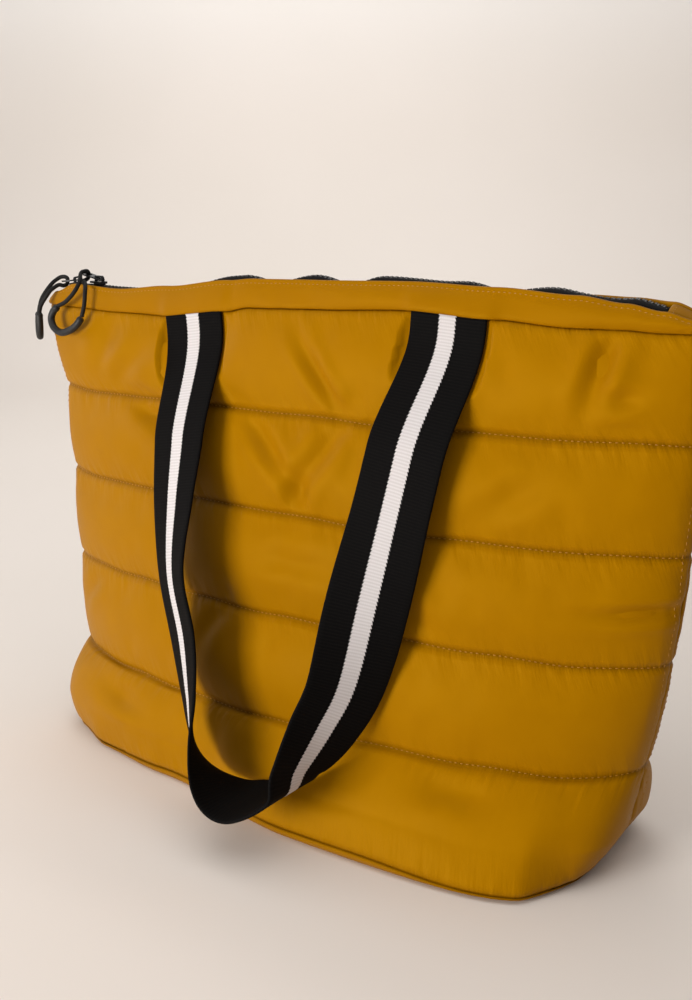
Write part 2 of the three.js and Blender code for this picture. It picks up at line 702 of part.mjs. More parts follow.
function sliderGeometry() {
  const l = SLIDER_LENGTH / 2;
  const w = SLIDER_WIDTH / 2;
  const plan = outlineShape([
    [-l, -w * 0.75],
    [-l * 0.2, -w],
    [l * 0.5, -w],
    [l, -w * 0.3],
    [l, w * 0.3],
    [l * 0.5, w],
    [-l * 0.2, w],
    [-l, w * 0.75],
  ]);
  const plate = { depth: SLIDER_PLATE, bevelEnabled: false };
  const lower = new THREE.ExtrudeGeometry(plan, plate).translate(0, 0, -plateTop);
  const upper = new THREE.ExtrudeGeometry(plan, plate).translate(0, 0, plateTop - SLIDER_PLATE);
  const web = new THREE.BoxGeometry(SLIDER_LENGTH * 0.7, SLIDER_WEB, sliderGap + SLIDER_PLATE);
  const b = BRIDGE_LENGTH / 2;
  const sunk = SLIDER_PLATE / 2;
  const arch = outlineShape([
    [-b, -sunk],
    [-b + BRIDGE_BAR, -sunk],
    [-b + BRIDGE_BAR, BRIDGE_HEIGHT - BRIDGE_BAR],
    [b - BRIDGE_BAR, BRIDGE_HEIGHT - BRIDGE_BAR],
    [b - BRIDGE_BAR, -sunk],
    [b, -sunk],
    [b, BRIDGE_HEIGHT - BRIDGE_BAR],
    [b - BRIDGE_BAR, BRIDGE_HEIGHT],
    [-b + BRIDGE_BAR, BRIDGE_HEIGHT],
    [-b, BRIDGE_HEIGHT - BRIDGE_BAR],
  ]);
  const bridge = new THREE.ExtrudeGeometry(arch, { depth: BRIDGE_WIDTH, bevelEnabled: false })
    .rotateX(Math.PI / 2)
    .translate(0, BRIDGE_WIDTH / 2, plateTop);
  return geometryOf(solidOf(lower).add(solidOf(upper)).add(solidOf(web)).add(solidOf(bridge)));
}

// A pull tab lying to the left of its bridge: a frame round the bridge's left leg, then a plate
// with a round hole. Its origin is the middle of the bar under the bridge.
const barPlace = BRIDGE_LENGTH / 2 - BRIDGE_BAR * 1.5 - CLEARANCE;
const slotEnd = -barPlace - BRIDGE_LENGTH / 2 - 2 * CLEARANCE;
const holeRadius = PULL_HOLE / 2;

function pullGeometry() {
  const w = PULL_WIDTH / 2;
  const neck = BRIDGE_WIDTH / 2 + BRIDGE_BAR + 2 * CLEARANCE;
  const bar = BRIDGE_BAR / 2;
  const plan = outlineShape([
    [bar, -neck],
    [bar, neck],
    [slotEnd - bar, neck],
    [-PULL_REACH + w * 0.7, w],
    [-PULL_REACH - w * 0.45, w],
    [-PULL_REACH - w, w * 0.45],
    [-PULL_REACH - w, -w * 0.45],
    [-PULL_REACH - w * 0.45, -w],
    [-PULL_REACH + w * 0.7, -w],
    [slotEnd - bar, -neck],
  ]);
  const slot = BRIDGE_WIDTH / 2 + 2 * CLEARANCE;
  const opening = new THREE.Path();
  opening.moveTo(-bar, -slot);
  opening.lineTo(slotEnd, -slot);
  opening.lineTo(slotEnd, slot);
  opening.lineTo(-bar, slot);
  opening.closePath();
  const eye = new THREE.Path();
  eye.absarc(-PULL_REACH, 0, holeRadius, 0, Math.PI * 2, true);
  plan.holes.push(opening, eye);
  return new THREE.ExtrudeGeometry(plan, {
    depth: PULL_PLATE,
    bevelEnabled: false,
    curveSegments: 5,
  }).translate(0, 0, -PULL_PLATE / 2);
}

// A round cord or moulded tube along a run of points.
function tubeGeometry(points, diameter, sides, steps) {
  const rim = [];
  for (let k = 0; k < sides; k += 1) {
    const angle = (2 * Math.PI * k) / sides;
    rim.push([(Math.cos(angle) * diameter) / 2, (Math.sin(angle) * diameter) / 2]);
  }
  const path = new THREE.CatmullRomCurve3(points.map((p) => new THREE.Vector3(...p)));
  return new THREE.ExtrudeGeometry(outlineShape(rim), {
    steps,
    extrudePath: path,
    bevelEnabled: false,
  });
}

const PULLS = [
  { side: "right", x: -mouthEnd + SLIDER_RIGHT_IN, tilt: PULL_TILT, cord: CORD_RIGHT, grip: GRIP_RIGHT },
  { side: "left", x: -mouthEnd + SLIDER_LEFT_IN, tilt: PULL_LIFT, cord: CORD_LEFT, grip: GRIP_LEFT },
];
for (const pull of PULLS) {
  const crest = crestAt(pull.x);
  const ahead = crestAt(pull.x + SLIDER_LENGTH / 2);
  const behind = crestAt(pull.x - SLIDER_LENGTH / 2);
  const slope = Math.atan2(ahead.z - behind.z, SLIDER_LENGTH);
  const holder = new THREE.Group();
  holder.position.set(pull.x, crest.y, (ahead.z + behind.z + 2 * crest.z) / 4 - CHAIN_HEIGHT / 2);
  holder.rotation.y = -slope;
  bag.add(holder);
  const slider = new THREE.Mesh(sliderGeometry(), BLACK_METAL);
  slider.name = "zip_slider_" + pull.side;
  holder.add(slider);
  const tab = new THREE.Mesh(pullGeometry(), BLACK_METAL);
  tab.name = "pull_tab_" + pull.side;
  const lift = THREE.MathUtils.degToRad(pull.tilt);
  tab.position.set(barPlace, 0, plateTop + PULL_PLATE / 2 + 2 * CLEARANCE);
  tab.rotation.y = lift;
  holder.add(tab);
  const eye = new THREE.Group();
  eye.rotation.y = slope;
  eye.position.set(
    barPlace - PULL_REACH * Math.cos(lift),
    0,
    tab.position.z + PULL_REACH * Math.sin(lift),
  );
  holder.add(eye);
  const cord = new THREE.Mesh(tubeGeometry(pull.cord, CORD_DIAMETER, 6, CORD_STEPS), BLACK_CORD);
  cord.name = "pull_cord_" + pull.side;
  eye.add(cord);
  const grip = new THREE.Mesh(tubeGeometry(pull.grip, GRIP_DIAMETER, 8, CORD_STEPS / 2), BLACK_GRIP);
  grip.name = "pull_grip_" + pull.side;
  eye.add(grip);
}

// The cloth tab over an end of the zip, between the two bands.
function endTabGeometry(from, to) {
  const rings = [];
  for (let i = 0; i <= END_STEPS; i += 1) {
    const x = mix(from, to, i / END_STEPS);
    const corner = (side) => {
      const z = mouthHeight(x, side < 0 ? "front" : "back") - TAB_SUNK;
      const wall = Math.min(bandInside(side, x, z), bandInside(side, x, z - TAB_THICK));
      return [side * (wall - 2 * CLEARANCE), z];
    };
    const front = corner(-1);
    const back = corner(1);
    rings.push([
      new THREE.Vector3(x, back[0], back[1]),
      new THREE.Vector3(x, front[0], front[1]),
      new THREE.Vector3(x, front[0], front[1] - TAB_THICK),
      new THREE.Vector3(x, back[0], back[1] - TAB_THICK),
    ]);
  }
  return loftGeometry(rings);
}

const tabEnd = mouthEnd - TAB_IN;
addPiece("zip_end_tab_left", endTabGeometry(-tabEnd, zipLeft - CLEARANCE), MUSTARD_BAND);
addPiece("zip_end_tab_right", endTabGeometry(zipRight + CLEARANCE, tabEnd), MUSTARD_BAND);

// A handle: a flat strap swept along its line. Its ends stand under the band's lower edge.
function handleGeometry(side) {
  const middles = [];
  const widths = [];
  for (const row of HANDLE_LINE) {
    const x = (row.across * HANDLE_SPREAD) / 2;
    const o = outlineAt(row.up);
    const wall = depthAt(o.half, o.deep, o.square, x - o.middle);
    const z = row.up === 1 ? mouthHeight(x, "seam") - CLEARANCE : wallHeight(x, row.up);
    middles.push(new THREE.Vector3(x, -wall - 2 * CLEARANCE - WEBBING / 2 - row.stand * HANDLE_STAND, z));
    const turn = THREE.MathUtils.degToRad(row.turn);
    const lean = THREE.MathUtils.degToRad(row.lean);
    const flat = Math.cos(lean);
    widths.push(new THREE.Vector3(Math.cos(turn) * flat, Math.sin(turn) * flat, Math.sin(lean)));
  }
  const line = new THREE.CatmullRomCurve3(middles, false, "catmullrom", 0.5);
  const twist = new THREE.CatmullRomCurve3(widths, false, "catmullrom", 0.5);
  const faces = [[], []];
  for (let i = 0; i <= HANDLE_STEPS; i += 1) {
    const t = i / HANDLE_STEPS;
    const along = line.getTangent(t);
    const middle = line.getPoint(t);
    const wide = twist.getPoint(t);
    wide.addScaledVector(along, -wide.dot(along)).normalize();
    const normal = new THREE.Vector3().crossVectors(along, wide);
    const end = i === 0 || i === HANDLE_STEPS;
    for (const layer of [0, 1]) {
      const row = [];
      for (let k = 0; k <= HANDLE_COLUMNS; k += 1) {
        const p = middle.clone().addScaledVector(wide, (0.5 - k / HANDLE_COLUMNS) * WEBBING_WIDTH);
        if (end) {
          const o = outlineAt(1);
          const out = layer === 0 ? WEBBING : 0;
          p.y = -depthAt(o.half, o.deep, o.square, p.x - o.middle) - 3 * CLEARANCE - out;
          p.z = mouthHeight(p.x, "seam") - 3 * CLEARANCE;
        } else {
          p.addScaledVector(normal, (0.5 - layer) * WEBBING);
        }
        p.y *= -side;
        row.push(p);
      }
      faces[layer].push(row);
    }
  }
  return shellGeometry(faces[0], faces[1], side > 0);
}

addPiece("handle_front", handleGeometry(-1), BLACK_WEBBING);
addPiece("handle_back", handleGeometry(1), BLACK_WEBBING);

export default bag;
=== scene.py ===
"""Quilted tote bag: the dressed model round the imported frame.

Shapes are worked out in millimetres, in the frame's own axes, and made in metres.
"""

import math

import bmesh
import bpy
import numpy as np
from mathutils import Matrix, Vector, kdtree, noise


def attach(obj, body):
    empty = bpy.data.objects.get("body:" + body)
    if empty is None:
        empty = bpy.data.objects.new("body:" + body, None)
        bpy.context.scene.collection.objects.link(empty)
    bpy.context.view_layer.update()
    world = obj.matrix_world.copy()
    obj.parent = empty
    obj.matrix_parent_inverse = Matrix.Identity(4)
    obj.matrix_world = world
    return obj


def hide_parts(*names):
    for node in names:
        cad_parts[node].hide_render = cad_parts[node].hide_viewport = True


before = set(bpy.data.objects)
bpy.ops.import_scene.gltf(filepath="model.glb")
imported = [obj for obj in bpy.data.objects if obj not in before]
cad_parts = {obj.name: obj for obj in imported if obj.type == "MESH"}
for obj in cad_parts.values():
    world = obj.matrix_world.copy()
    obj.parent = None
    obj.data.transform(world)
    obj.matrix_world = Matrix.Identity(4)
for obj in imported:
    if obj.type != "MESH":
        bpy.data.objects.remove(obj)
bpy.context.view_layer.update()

MM = 0.001

# ---------------------------------------------------------------- sizes, as the solids have them
TOP_WIDTH = 504
TOP_DEPTH = 28
BASE_WIDTH = 424
BASE_DEPTH = 152
FLOOR_WIDTH = 396
FLOOR_DEPTH = 146
BODY_HEIGHT = 320
BASE_SEAM = 12
BASE_SHIFT = -11
PUFF = 8
PUFF_ENDS = 0.4
SEAM_FADE = 18
BAND_HEIGHT = 20
BAND_PROUD = 3.4
BAND_WALL = 3
MOUTH_DEPTH = 20
MOUTH_SQUARE = 5
MOUTH_END = TOP_WIDTH / 2
ZIP_LEFT = -MOUTH_END + 22
ZIP_RIGHT = MOUTH_END - 30
ZIP_WAVE = 3
ZIP_SWAY = 2.5
TAPE = 1
TAPE_FLAT = 4.8
TAPE_DROP = 4
CHAIN_HEIGHT = 2.4
CHAIN_LEFT = -MOUTH_END + 57.8
CHAIN_RIGHT = ZIP_RIGHT - 1
TAB_END = MOUTH_END - 7
TAB_THICK = 1.6
TOOTH_PITCH = 1.75
CORD_DIAMETER = 3
GRIP_DIAMETER = 5.2
WEBBING_WIDTH = 50
WEBBING = 2.2
STRIPE = 10.8
HANDLE_SPREAD = 196
HANDLE_STAND = 40

OUTLINE = {
    "up": [0, 0.06, 0.17, 0.39, 0.6, 0.8, 1],
    "shift": [1, 0.75, 0.3, 0.06, -0.16, -0.27, 0],
    "width": [0, 0.24, 0.32, 0.56, 0.69, 0.77, 1],
    "depth": [0, 0.13, 0.19, 0.4, 0.58, 0.8, 1],
    "square": [4.8, 4.1, 2.1, 2.05, 2.0, 2.2, 3],
}
SEAMS = [0, 0.169, 0.387, 0.597, 0.799, 1]
SAG = {
    "across": [-1, -0.79, -0.65, -0.4, 0.1, 0.56, 0.7, 0.79, 1],
    "sag": [-0.2, -0.2, -0.1, -0.02, 0.24, 0.23, 0.23, 0, 0],
}
# Where the wall's lower edge runs over the base: the lowest channel droops most near the corners.
HEM = {"across": [-1, -0.7, -0.3, 0.3, 0.6, 1], "height": [5, 3.5, 6.5, 7, 4, 4]}
MOUTH_LINE = {
    "across": [-1, -0.95, -0.87, -0.69, -0.5, -0.28, -0.2, 0, 0.28, 0.5, 0.69, 0.8, 0.88, 0.95, 1],
    "seam": [-0.05, -0.05, -0.1, -0.18, -0.22, 0.03, 0.18, 0.22, 0.31, 0.15, 0, 0, -0.05, -0.05, -0.05],
    "front": [0.12, 0.4, 0.69, 0.57, 0.73, 0.98, 1.05, 1.06, 1.09, 0.99, 0.83, 0.65, 0.47, 0.26, 0.12],
    "back": [0.12, 0.35, 0.5, 0.32, 0.47, 0.74, 0.78, 0.8, 0.84, 0.76, 0.78, 0.74, 0.66, 0.4, 0.12],
}
CREST = {
    "across": [
        -1, -0.89, -0.7, -0.515, -0.255, -0.155, -0.02, 0.08,
        0.18, 0.34, 0.41, 0.5, 0.63, 0.72, 0.81, 1,
    ],
    "rise": [0, 0, 0.2, -1, 0.8, -0.9, 0.8, -0.9, 0.7, 0.1, 0.4, -0.9, 0.7, -0.2, 0.7, 0.3],
    "sway": [0, 0, 0, 0, 0, 0, 0, 0, 0, 0, 0, 0.2, 0.6, 1, 1, 0.6],
}
# Handle's middle line: across, up, stand, turn and lean, as the solids have them.
HANDLE_LINE = [
    (-1, 1, 0, 0, 0),
    (-0.97, 0.904, 0.34, -6, 8),
    (-0.9, 0.757, 0.44, -7, 10),
    (-0.84, 0.613, 0.62, -16, 14),
    (-0.76, 0.469, 0.79, -28, 18),
    (-0.63, 0.339, 0.76, -29, 19),
    (-0.53, 0.226, 0.78, -37, 19),
    (-0.39, 0.133, 0.94, -51, 26),
    (-0.15, 0.076, 1.04, -69, 6),
    (0.11, 0.066, 1.09, -88, -5),
    (0.4, 0.106, 1.02, -83, 10),
    (0.47, 0.156, 0.99, -99, 15),
    (0.58, 0.236, 0.84, -118, 22),
    (0.68, 0.324, 0.71, -129, 20),
    (0.75, 0.483, 0.57, -155, 15),
    (0.82, 0.631, 0.48, -173, 11),
    (0.9, 0.78, 0.49, -177, 9),
    (0.97, 0.93, 0.4, -178, 6),
    (1, 1, 0, -180, 0),
]
# Dents and folds of a wall: place (x, z), heading in degrees, half length, half width, depth.
FOLDS = [
    (-98, 310, 0, 30, 12, 2.5),
    (98, 311, 0, 30, 12, 2.5),
    (12, 284, -52, 26, 5, 3.2),
    (-22, 236, -42, 32, 6, 3.0),
    (18, 236, 58, 30, 7, 3.0),
    (3, 212, 88, 18, 7, 2.2),
    (192, 300, 75, 22, 6, 3.4),
    (205, 283, 10, 10, 5, 2.0),
    (-180, 294, 70, 22, 9, 1.6),
    (-157, 278, 40, 20, 7, 1.4),
    (-130, 249, -25, 24, 8, 3.4),
    (5, 168, 0, 30, 7, 1.6),
    (222, 165, 5, 24, 4, 2.6),
    (-146, 47, -8, 26, 7, 2.4),
    (128, 51, 0, 20, 6, 1.8),
    (-60, 120, 60, 24, 7, 1.4),
    (90, 150, -35, 22, 7, 1.2),
    (150, 225, 30, 26, 8, 1.2),
    (-200, 110, 40, 18, 6, 1.4),
]

# ---------------------------------------------------------------- camera
CAMERA_AT = (423.98, -596.57, 392.78)
CAMERA_AZIMUTH = 34.616
CAMERA_PITCH = 15.013
CAMERA_ROLL = -1.42
CAMERA_LENS = 41.153

azimuth, pitch, roll = (math.radians(a) for a in (CAMERA_AZIMUTH, CAMERA_PITCH, CAMERA_ROLL))
ahead = Vector(
    (-math.sin(azimuth) * math.cos(pitch), math.cos(azimuth) * math.cos(pitch), -math.sin(pitch))
)
level = Vector((math.cos(azimuth), math.sin(azimuth), 0))
right = level * math.cos(roll) + level.cross(ahead) * math.sin(roll)
upward = right.cross(ahead)
camera_data = bpy.data.cameras.new("camera")
camera_data.sensor_width = 36
camera_data.lens = CAMERA_LENS
camera_data.clip_start = 0.01
camera_data.clip_end = 100
camera = bpy.data.objects.new("camera", camera_data)
camera.matrix_world = Matrix.Translation(Vector(CAMERA_AT) * MM) @ (
    Matrix((right, upward, -ahead)).transposed().to_4x4()
)
bpy.context.scene.collection.objects.link(camera)
bpy.context.scene.camera = camera


# ---------------------------------------------------------------- shape functions
def read(rows, key, column, at, ease=False):
    """A table's column at places along its key column."""
    keys = np.array(rows[key], float)
    values = np.array(rows[column], float)
    if not ease:
        return np.interp(at, keys, values)
    at = np.clip(at, keys[0], keys[-1])
    i = np.clip(np.searchsorted(keys, at) - 1, 0, len(keys) - 2)
    t = (at - keys[i]) / (keys[i + 1] - keys[i])
    return values[i] + (values[i + 1] - values[i]) * t * t * (3 - 2 * t)


def mouth(x, column):
    return BODY_HEIGHT + BAND_HEIGHT * read(
        MOUTH_LINE, "across", column, np.asarray(x) / MOUTH_END, ease=True
    )


def outline(up):
    half = (BASE_WIDTH + (TOP_WIDTH - BASE_WIDTH) * read(OUTLINE, "up", "width", up)) / 2
    deep = (BASE_DEPTH + (TOP_DEPTH - BASE_DEPTH) * read(OUTLINE, "up", "depth", up)) / 2
    middle = BASE_SHIFT * read(OUTLINE, "up", "shift", up)
    return middle, half, deep, read(OUTLINE, "up", "square", up)


def depth_at(half, deep, square, x):
    share = np.clip(np.abs(x) / half, 0, 1)
    return deep * np.maximum(0, 1 - share**square) ** (1 / square)


def sagging(side, x, up):
    """How far the wall stands out at its foot, as a factor of its depth."""
    share = read(SAG, "across", "sag", -side * np.asarray(x) / MOUTH_END, ease=True)
    return 1 + share * np.maximum(0, 1 - np.asarray(up) / SEAMS[1]) ** 2


def hem(x):
    return read(HEM, "across", "height", np.asarray(x) / MOUTH_END, ease=True)


def even_turns(half, deep, square, count):
    """Turns of a rounded oblong's points that lie evenly along it, from its left end to its right."""
    turn = np.linspace(0, 1, 1601)
    x = -half * np.cos(math.pi * turn)
    y = depth_at(half, deep, square, x)
    run = np.concatenate([[0], np.cumsum(np.hypot(np.diff(x), np.diff(y)))])
    return np.interp(np.linspace(0, run[-1], count), run, turn), run[-1]


def wave(seed, x, size):
    """Smooth noise along x, about -1 to 1, with bumps of the given size."""
    return np.array([noise.noise(Vector((v / size, seed * 7.31, 0.5))) * 2 for v in np.ravel(x)])


def wave2(seed, x, y, size):
    shape = np.shape(x)
    flat = [
        noise.noise(Vector((a / size, b / size, seed * 5.17))) * 2
        for a, b in zip(np.ravel(x), np.ravel(y))
    ]
    return np.array(flat).reshape(shape)


# ---------------------------------------------------------------- mesh helpers
def mesh_object(name, points, faces, smooth=True):
    mesh = bpy.data.meshes.new(name)
    mesh.from_pydata((np.asarray(points) * MM).tolist(), [], [list(map(int, f)) for f in faces])
    mesh.validate()
    mesh.update()
    mesh.shade_smooth() if smooth else mesh.shade_flat()
    piece = bpy.data.objects.new(name, mesh)
    bpy.context.scene.collection.objects.link(piece)
    return piece


def grid_faces(rows, cols, start=0, flip=False, wrap=False):
    faces = []
    for i in range(rows - 1):
        for j in range(cols if wrap else cols - 1):
            k = (j + 1) % cols
            a, b = start + i * cols + j, start + i * cols + k
            quad = [a, b, b + cols, a + cols]
            faces.append(quad[::-1] if flip else quad)
    return faces


def attribute(piece, name, values):
    layer = piece.data.attributes.new(name, "FLOAT", "POINT")
    layer.data.foreach_set("value", np.asarray(values, np.float32).ravel())


def finish_piece(piece, material, slot, *nodes):
    piece.data.materials.clear()
    piece.data.materials.append(material)
    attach(piece, "root")
    if nodes:
        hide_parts(*nodes)


# ---------------------------------------------------------------- materials
def linear(red, green, blue):
    def one(v):
        v /= 255
        return v / 12.92 if v <= 0.04045 else ((v + 0.055) / 1.055) ** 2.4

    return (one(red), one(green), one(blue), 1)


class Shader:
    """A small builder for node materials."""

    def __init__(self, name, **sockets):
        self.material = bpy.data.materials.new(name)
        self.material.use_nodes = True
        self.nodes = self.material.node_tree.nodes
        self.links = self.material.node_tree.links
        self.bsdf = self.nodes["Principled BSDF"]
        for key, value in sockets.items():
            self.bsdf.inputs[key.replace("_", " ")].default_value = value

    def node(self, kind, links=None, values=None, **settings):
        made = self.nodes.new("ShaderNode" + kind)
        for key, value in settings.items():
            setattr(made, key, value)
        for key, value in (values or {}).items():
            made.inputs[key].default_value = value
        for key, source in (links or {}).items():
            self.links.new(source, made.inputs[key])
        return made

    def attribute(self, name):
        return self.node("Attribute", attribute_name=name).outputs["Fac"]

    def math(self, operation, a, b=0.5, clamp=False):
        made = self.node("Math", operation=operation, use_clamp=clamp)
        for k, v in enumerate((a, b)):
            if isinstance(v, (int, float)):
                made.inputs[k].default_value = v
            else:
                self.links.new(v, made.inputs[k])
        return made.outputs[0]

    def vector(self, x=0.0, y=0.0, z=0.0):
        made = self.node("CombineXYZ")
        for k, v in enumerate((x, y, z)):
            if isinstance(v, (int, float)):
                made.inputs[k].default_value = v
            else:
                self.links.new(v, made.inputs[k])
        return made.outputs[0]

    def noise(self, vector, scale, detail=2.0, roughness=0.5):
        made = self.node(
            "TexNoise", {"Vector": vector}, {"Scale": scale, "Detail": detail, "Roughness": roughness}
        )
        return made.outputs["Fac"]

    def ramp(self, source, *stops):
        made = self.node("ValToRGB", {"Fac": source})
        ramp = made.color_ramp
        while len(ramp.elements) < len(stops):
            ramp.elements.new(0.5)
        for element, (place, colour) in zip(ramp.elements, stops):
            element.position = place
            element.color = colour
        return made.outputs["Color"]

    def mix(self, fac, a, b):
        made = self.node("Mix", data_type="RGBA")
        for key, v in ((0, fac), (6, a), (7, b)):
            if hasattr(v, "links"):
                self.links.new(v, made.inputs[key])
            else:
                made.inputs[key].default_value = v
        return made.outputs[2]

    def colour(self, source):
        self.links.new(source, self.bsdf.inputs["Base Color"])

    def rough(self, source, low, high):
        made = self.node("MapRange", {"Value": source}, {"To Min": low, "To Max": high})
        self.links.new(made.outputs[0], self.bsdf.inputs["Roughness"])

    def bump(self, *layers):
        """layers are (height, strength, distance in mm)."""
        normal = None
        for height, strength, distance in layers:
            made = self.node(
                "Bump", {"Height": height}, {"Strength": strength, "Distance": distance * MM}
            )
            if normal is not None:
                self.links.new(normal, made.inputs["Normal"])
            normal = made.outputs["Normal"]
        self.links.new(normal, self.bsdf.inputs["Normal"])


def nylon(name, light, dark, seamed):
    """Satin woven nylon. seamed pieces carry the attributes along, seam and rise, in millimetres, and get
    painted shade that darkens the cloth at each seam.
    """
    s = Shader(
        name,
        Roughness=0.5,
        Specular_IOR_Level=0.16,
        Specular_Tint=(1.0, 0.6, 0.02, 1),
    )
    place = s.node("TexCoord").outputs["Object"]
    broad = s.noise(place, 9.0, 3.0, 0.55)
    cloud = s.noise(place, 55.0, 2.0, 0.5)
    tone = s.math("ADD", s.math("MULTIPLY", broad, 0.6), s.math("MULTIPLY", cloud, 0.4))
    base = s.ramp(tone, (0.3, dark), (0.7, light))
    along = s.attribute("along")
    rise = s.attribute("rise")
    warp = s.node("TexWave", {"Vector": s.vector(along)}, {"Scale": 0.72, "Distortion": 0.4})
    weft = s.node("TexWave", {"Vector": s.vector(rise)}, {"Scale": 0.72, "Distortion": 0.4})
    weave = s.math("MULTIPLY", warp.outputs["Fac"], weft.outputs["Fac"])
    woven = s.mix(s.math("MULTIPLY", weave, 0.1), base, dark)
    s.rough(cloud, 0.46, 0.54)
    layers = [(s.noise(place, 26.0, 2.0, 0.45), 0.12, 1.2), (weave, 0.16, 0.08)]
    if not seamed:
        s.colour(woven)
    else:
        away = s.attribute("seam")
        # Painted shade: the colour is mixed towards dark brown on each seam and fades within a millimetre
        # or two, for the shade in the stitched groove.
        line = s.math("MULTIPLY", s.math("POWER", 2.7, s.math("MULTIPLY", away, -1.0)), 0.6)
        s.colour(s.mix(line, woven, linear(70, 38, 0)))
        lean = s.math("ADD", along, s.math("MULTIPLY", rise, 0.35))
        broad_at = s.vector(s.math("MULTIPLY", lean, 0.3), s.math("MULTIPLY", rise, 0.05))
        pinch = s.noise(broad_at, 1.0, 2.0, 0.6)
        fine_at = s.vector(s.math("MULTIPLY", lean, 0.75), s.math("MULTIPLY", rise, 0.09))
        fine = s.noise(fine_at, 1.0, 1.0, 0.5)
        near = s.math("POWER", 2.7, s.math("MULTIPLY", away, -0.12))
        close = s.math("POWER", 2.7, s.math("MULTIPLY", away, -0.35))
        layers.append((s.math("MULTIPLY", pinch, near), 0.5, 1.6))
        layers.append((s.math("MULTIPLY", fine, close), 0.5, 0.8))
    s.bump(*layers)
    return s.material


quilt = nylon("quilted_nylon", linear(152, 102, 0), linear(145, 96, 0), True)
plain = nylon("plain_nylon", linear(148, 98, 0), linear(142, 93, 0), False)


def thread_material():
    s = Shader("thread", Roughness=0.5, Specular_IOR_Level=0.4)
    place = s.node("TexCoord").outputs["Object"]
    s.colour(s.ramp(s.noise(place, 900.0, 2.0), (0.3, linear(146, 95, 3)), (0.7, linear(168, 114, 8))))
    s.bump((s.noise(place, 2500.0, 1.0), 0.3, 0.1))
    return s.material


thread = thread_material()


def webbing_material():
    """Ribbed webbing. across and along are in millimetres, outer is 1 on the striped face."""
    s = Shader("webbing", Roughness=0.8, Specular_IOR_Level=0.07)
    across = s.attribute("across")
    along = s.attribute("along")
    outer = s.attribute("outer")
    rib_at = s.vector(along, s.math("MULTIPLY", across, 0.05))
    rib = s.node("TexWave", {"Vector": rib_at}, {"Scale": 0.16, "Distortion": 0.15})
    cross = s.node("TexWave", {"Vector": s.vector(across)}, {"Scale": 0.26, "Distortion": 0.1})
    crossing = s.math("ADD", s.math("MULTIPLY", cross.outputs["Fac"], 0.4), 0.6)
    weave = s.math("MULTIPLY", rib.outputs["Fac"], crossing)
    saw = s.node("TexWave", {"Vector": s.vector(along)}, {"Scale": 0.131}, wave_profile="SAW")
    edge = s.math("ADD", s.math("ABSOLUTE", across, 0), saw.outputs["Fac"])
    inside = s.math("LESS_THAN", edge, STRIPE / 2 + 0.5)
    black = s.ramp(weave, (0.1, linear(5, 4, 4)), (0.9, linear(12, 10, 9)))
    white = s.ramp(weave, (0.0, linear(186, 180, 179)), (0.8, linear(200, 195, 195)))
    s.colour(s.mix(s.math("MULTIPLY", inside, outer), black, white))
    s.bump((weave, 0.14, 0.3), (s.noise(s.node("TexCoord").outputs["Object"], 1400.0, 2.0), 0.15, 0.1))
    return s.material


webbing = webbing_material()


def plain_black(name, dark, light, roughness, scale, depth, **sockets):
    s = Shader(name, Roughness=roughness, **sockets)
    place = s.node("TexCoord").outputs["Object"]
    grain = s.noise(place, scale, 3.0, 0.6)
    s.colour(s.ramp(grain, (0.3, dark), (0.7, light)))
    s.rough(grain, roughness - 0.06, roughness + 0.06)
    s.bump((grain, 0.4, depth))
    return s.material


tape_cloth = plain_black(
    "zip_tape", linear(12, 11, 11), linear(26, 24, 23), 0.8, 1800.0, 0.12, Specular_IOR_Level=0.15
)
teeth = plain_black("zip_teeth", linear(52, 50, 48), linear(84, 80, 77), 0.42, 700.0, 0.05)
metal = plain_black("zip_metal", linear(18, 18, 19), linear(34, 34, 36), 0.34, 500.0, 0.04, Metallic=0.6)
cord_cloth = plain_black(
    "pull_cord", linear(10, 9, 9), linear(26, 24, 23), 0.65, 1600.0, 0.2, Specular_IOR_Level=0.2
)
grip_plastic = plain_black(
    "pull_grip", linear(20, 19, 18), linear(34, 32, 31), 0.5, 900.0, 0.06, Specular_IOR_Level=0.3
)


# ---------------------------------------------------------------- quilted walls
WALL_COLUMNS = 177
CHANNEL_ROWS = 20
CLOTH_FRAMES = 20
CLOTH_REACH = 4.5  # the furthest that the cloth may move from its start shape
FOLD_GAIN = 1.4
INNER_STEP = 8  # how much coarser the wall's inner face is


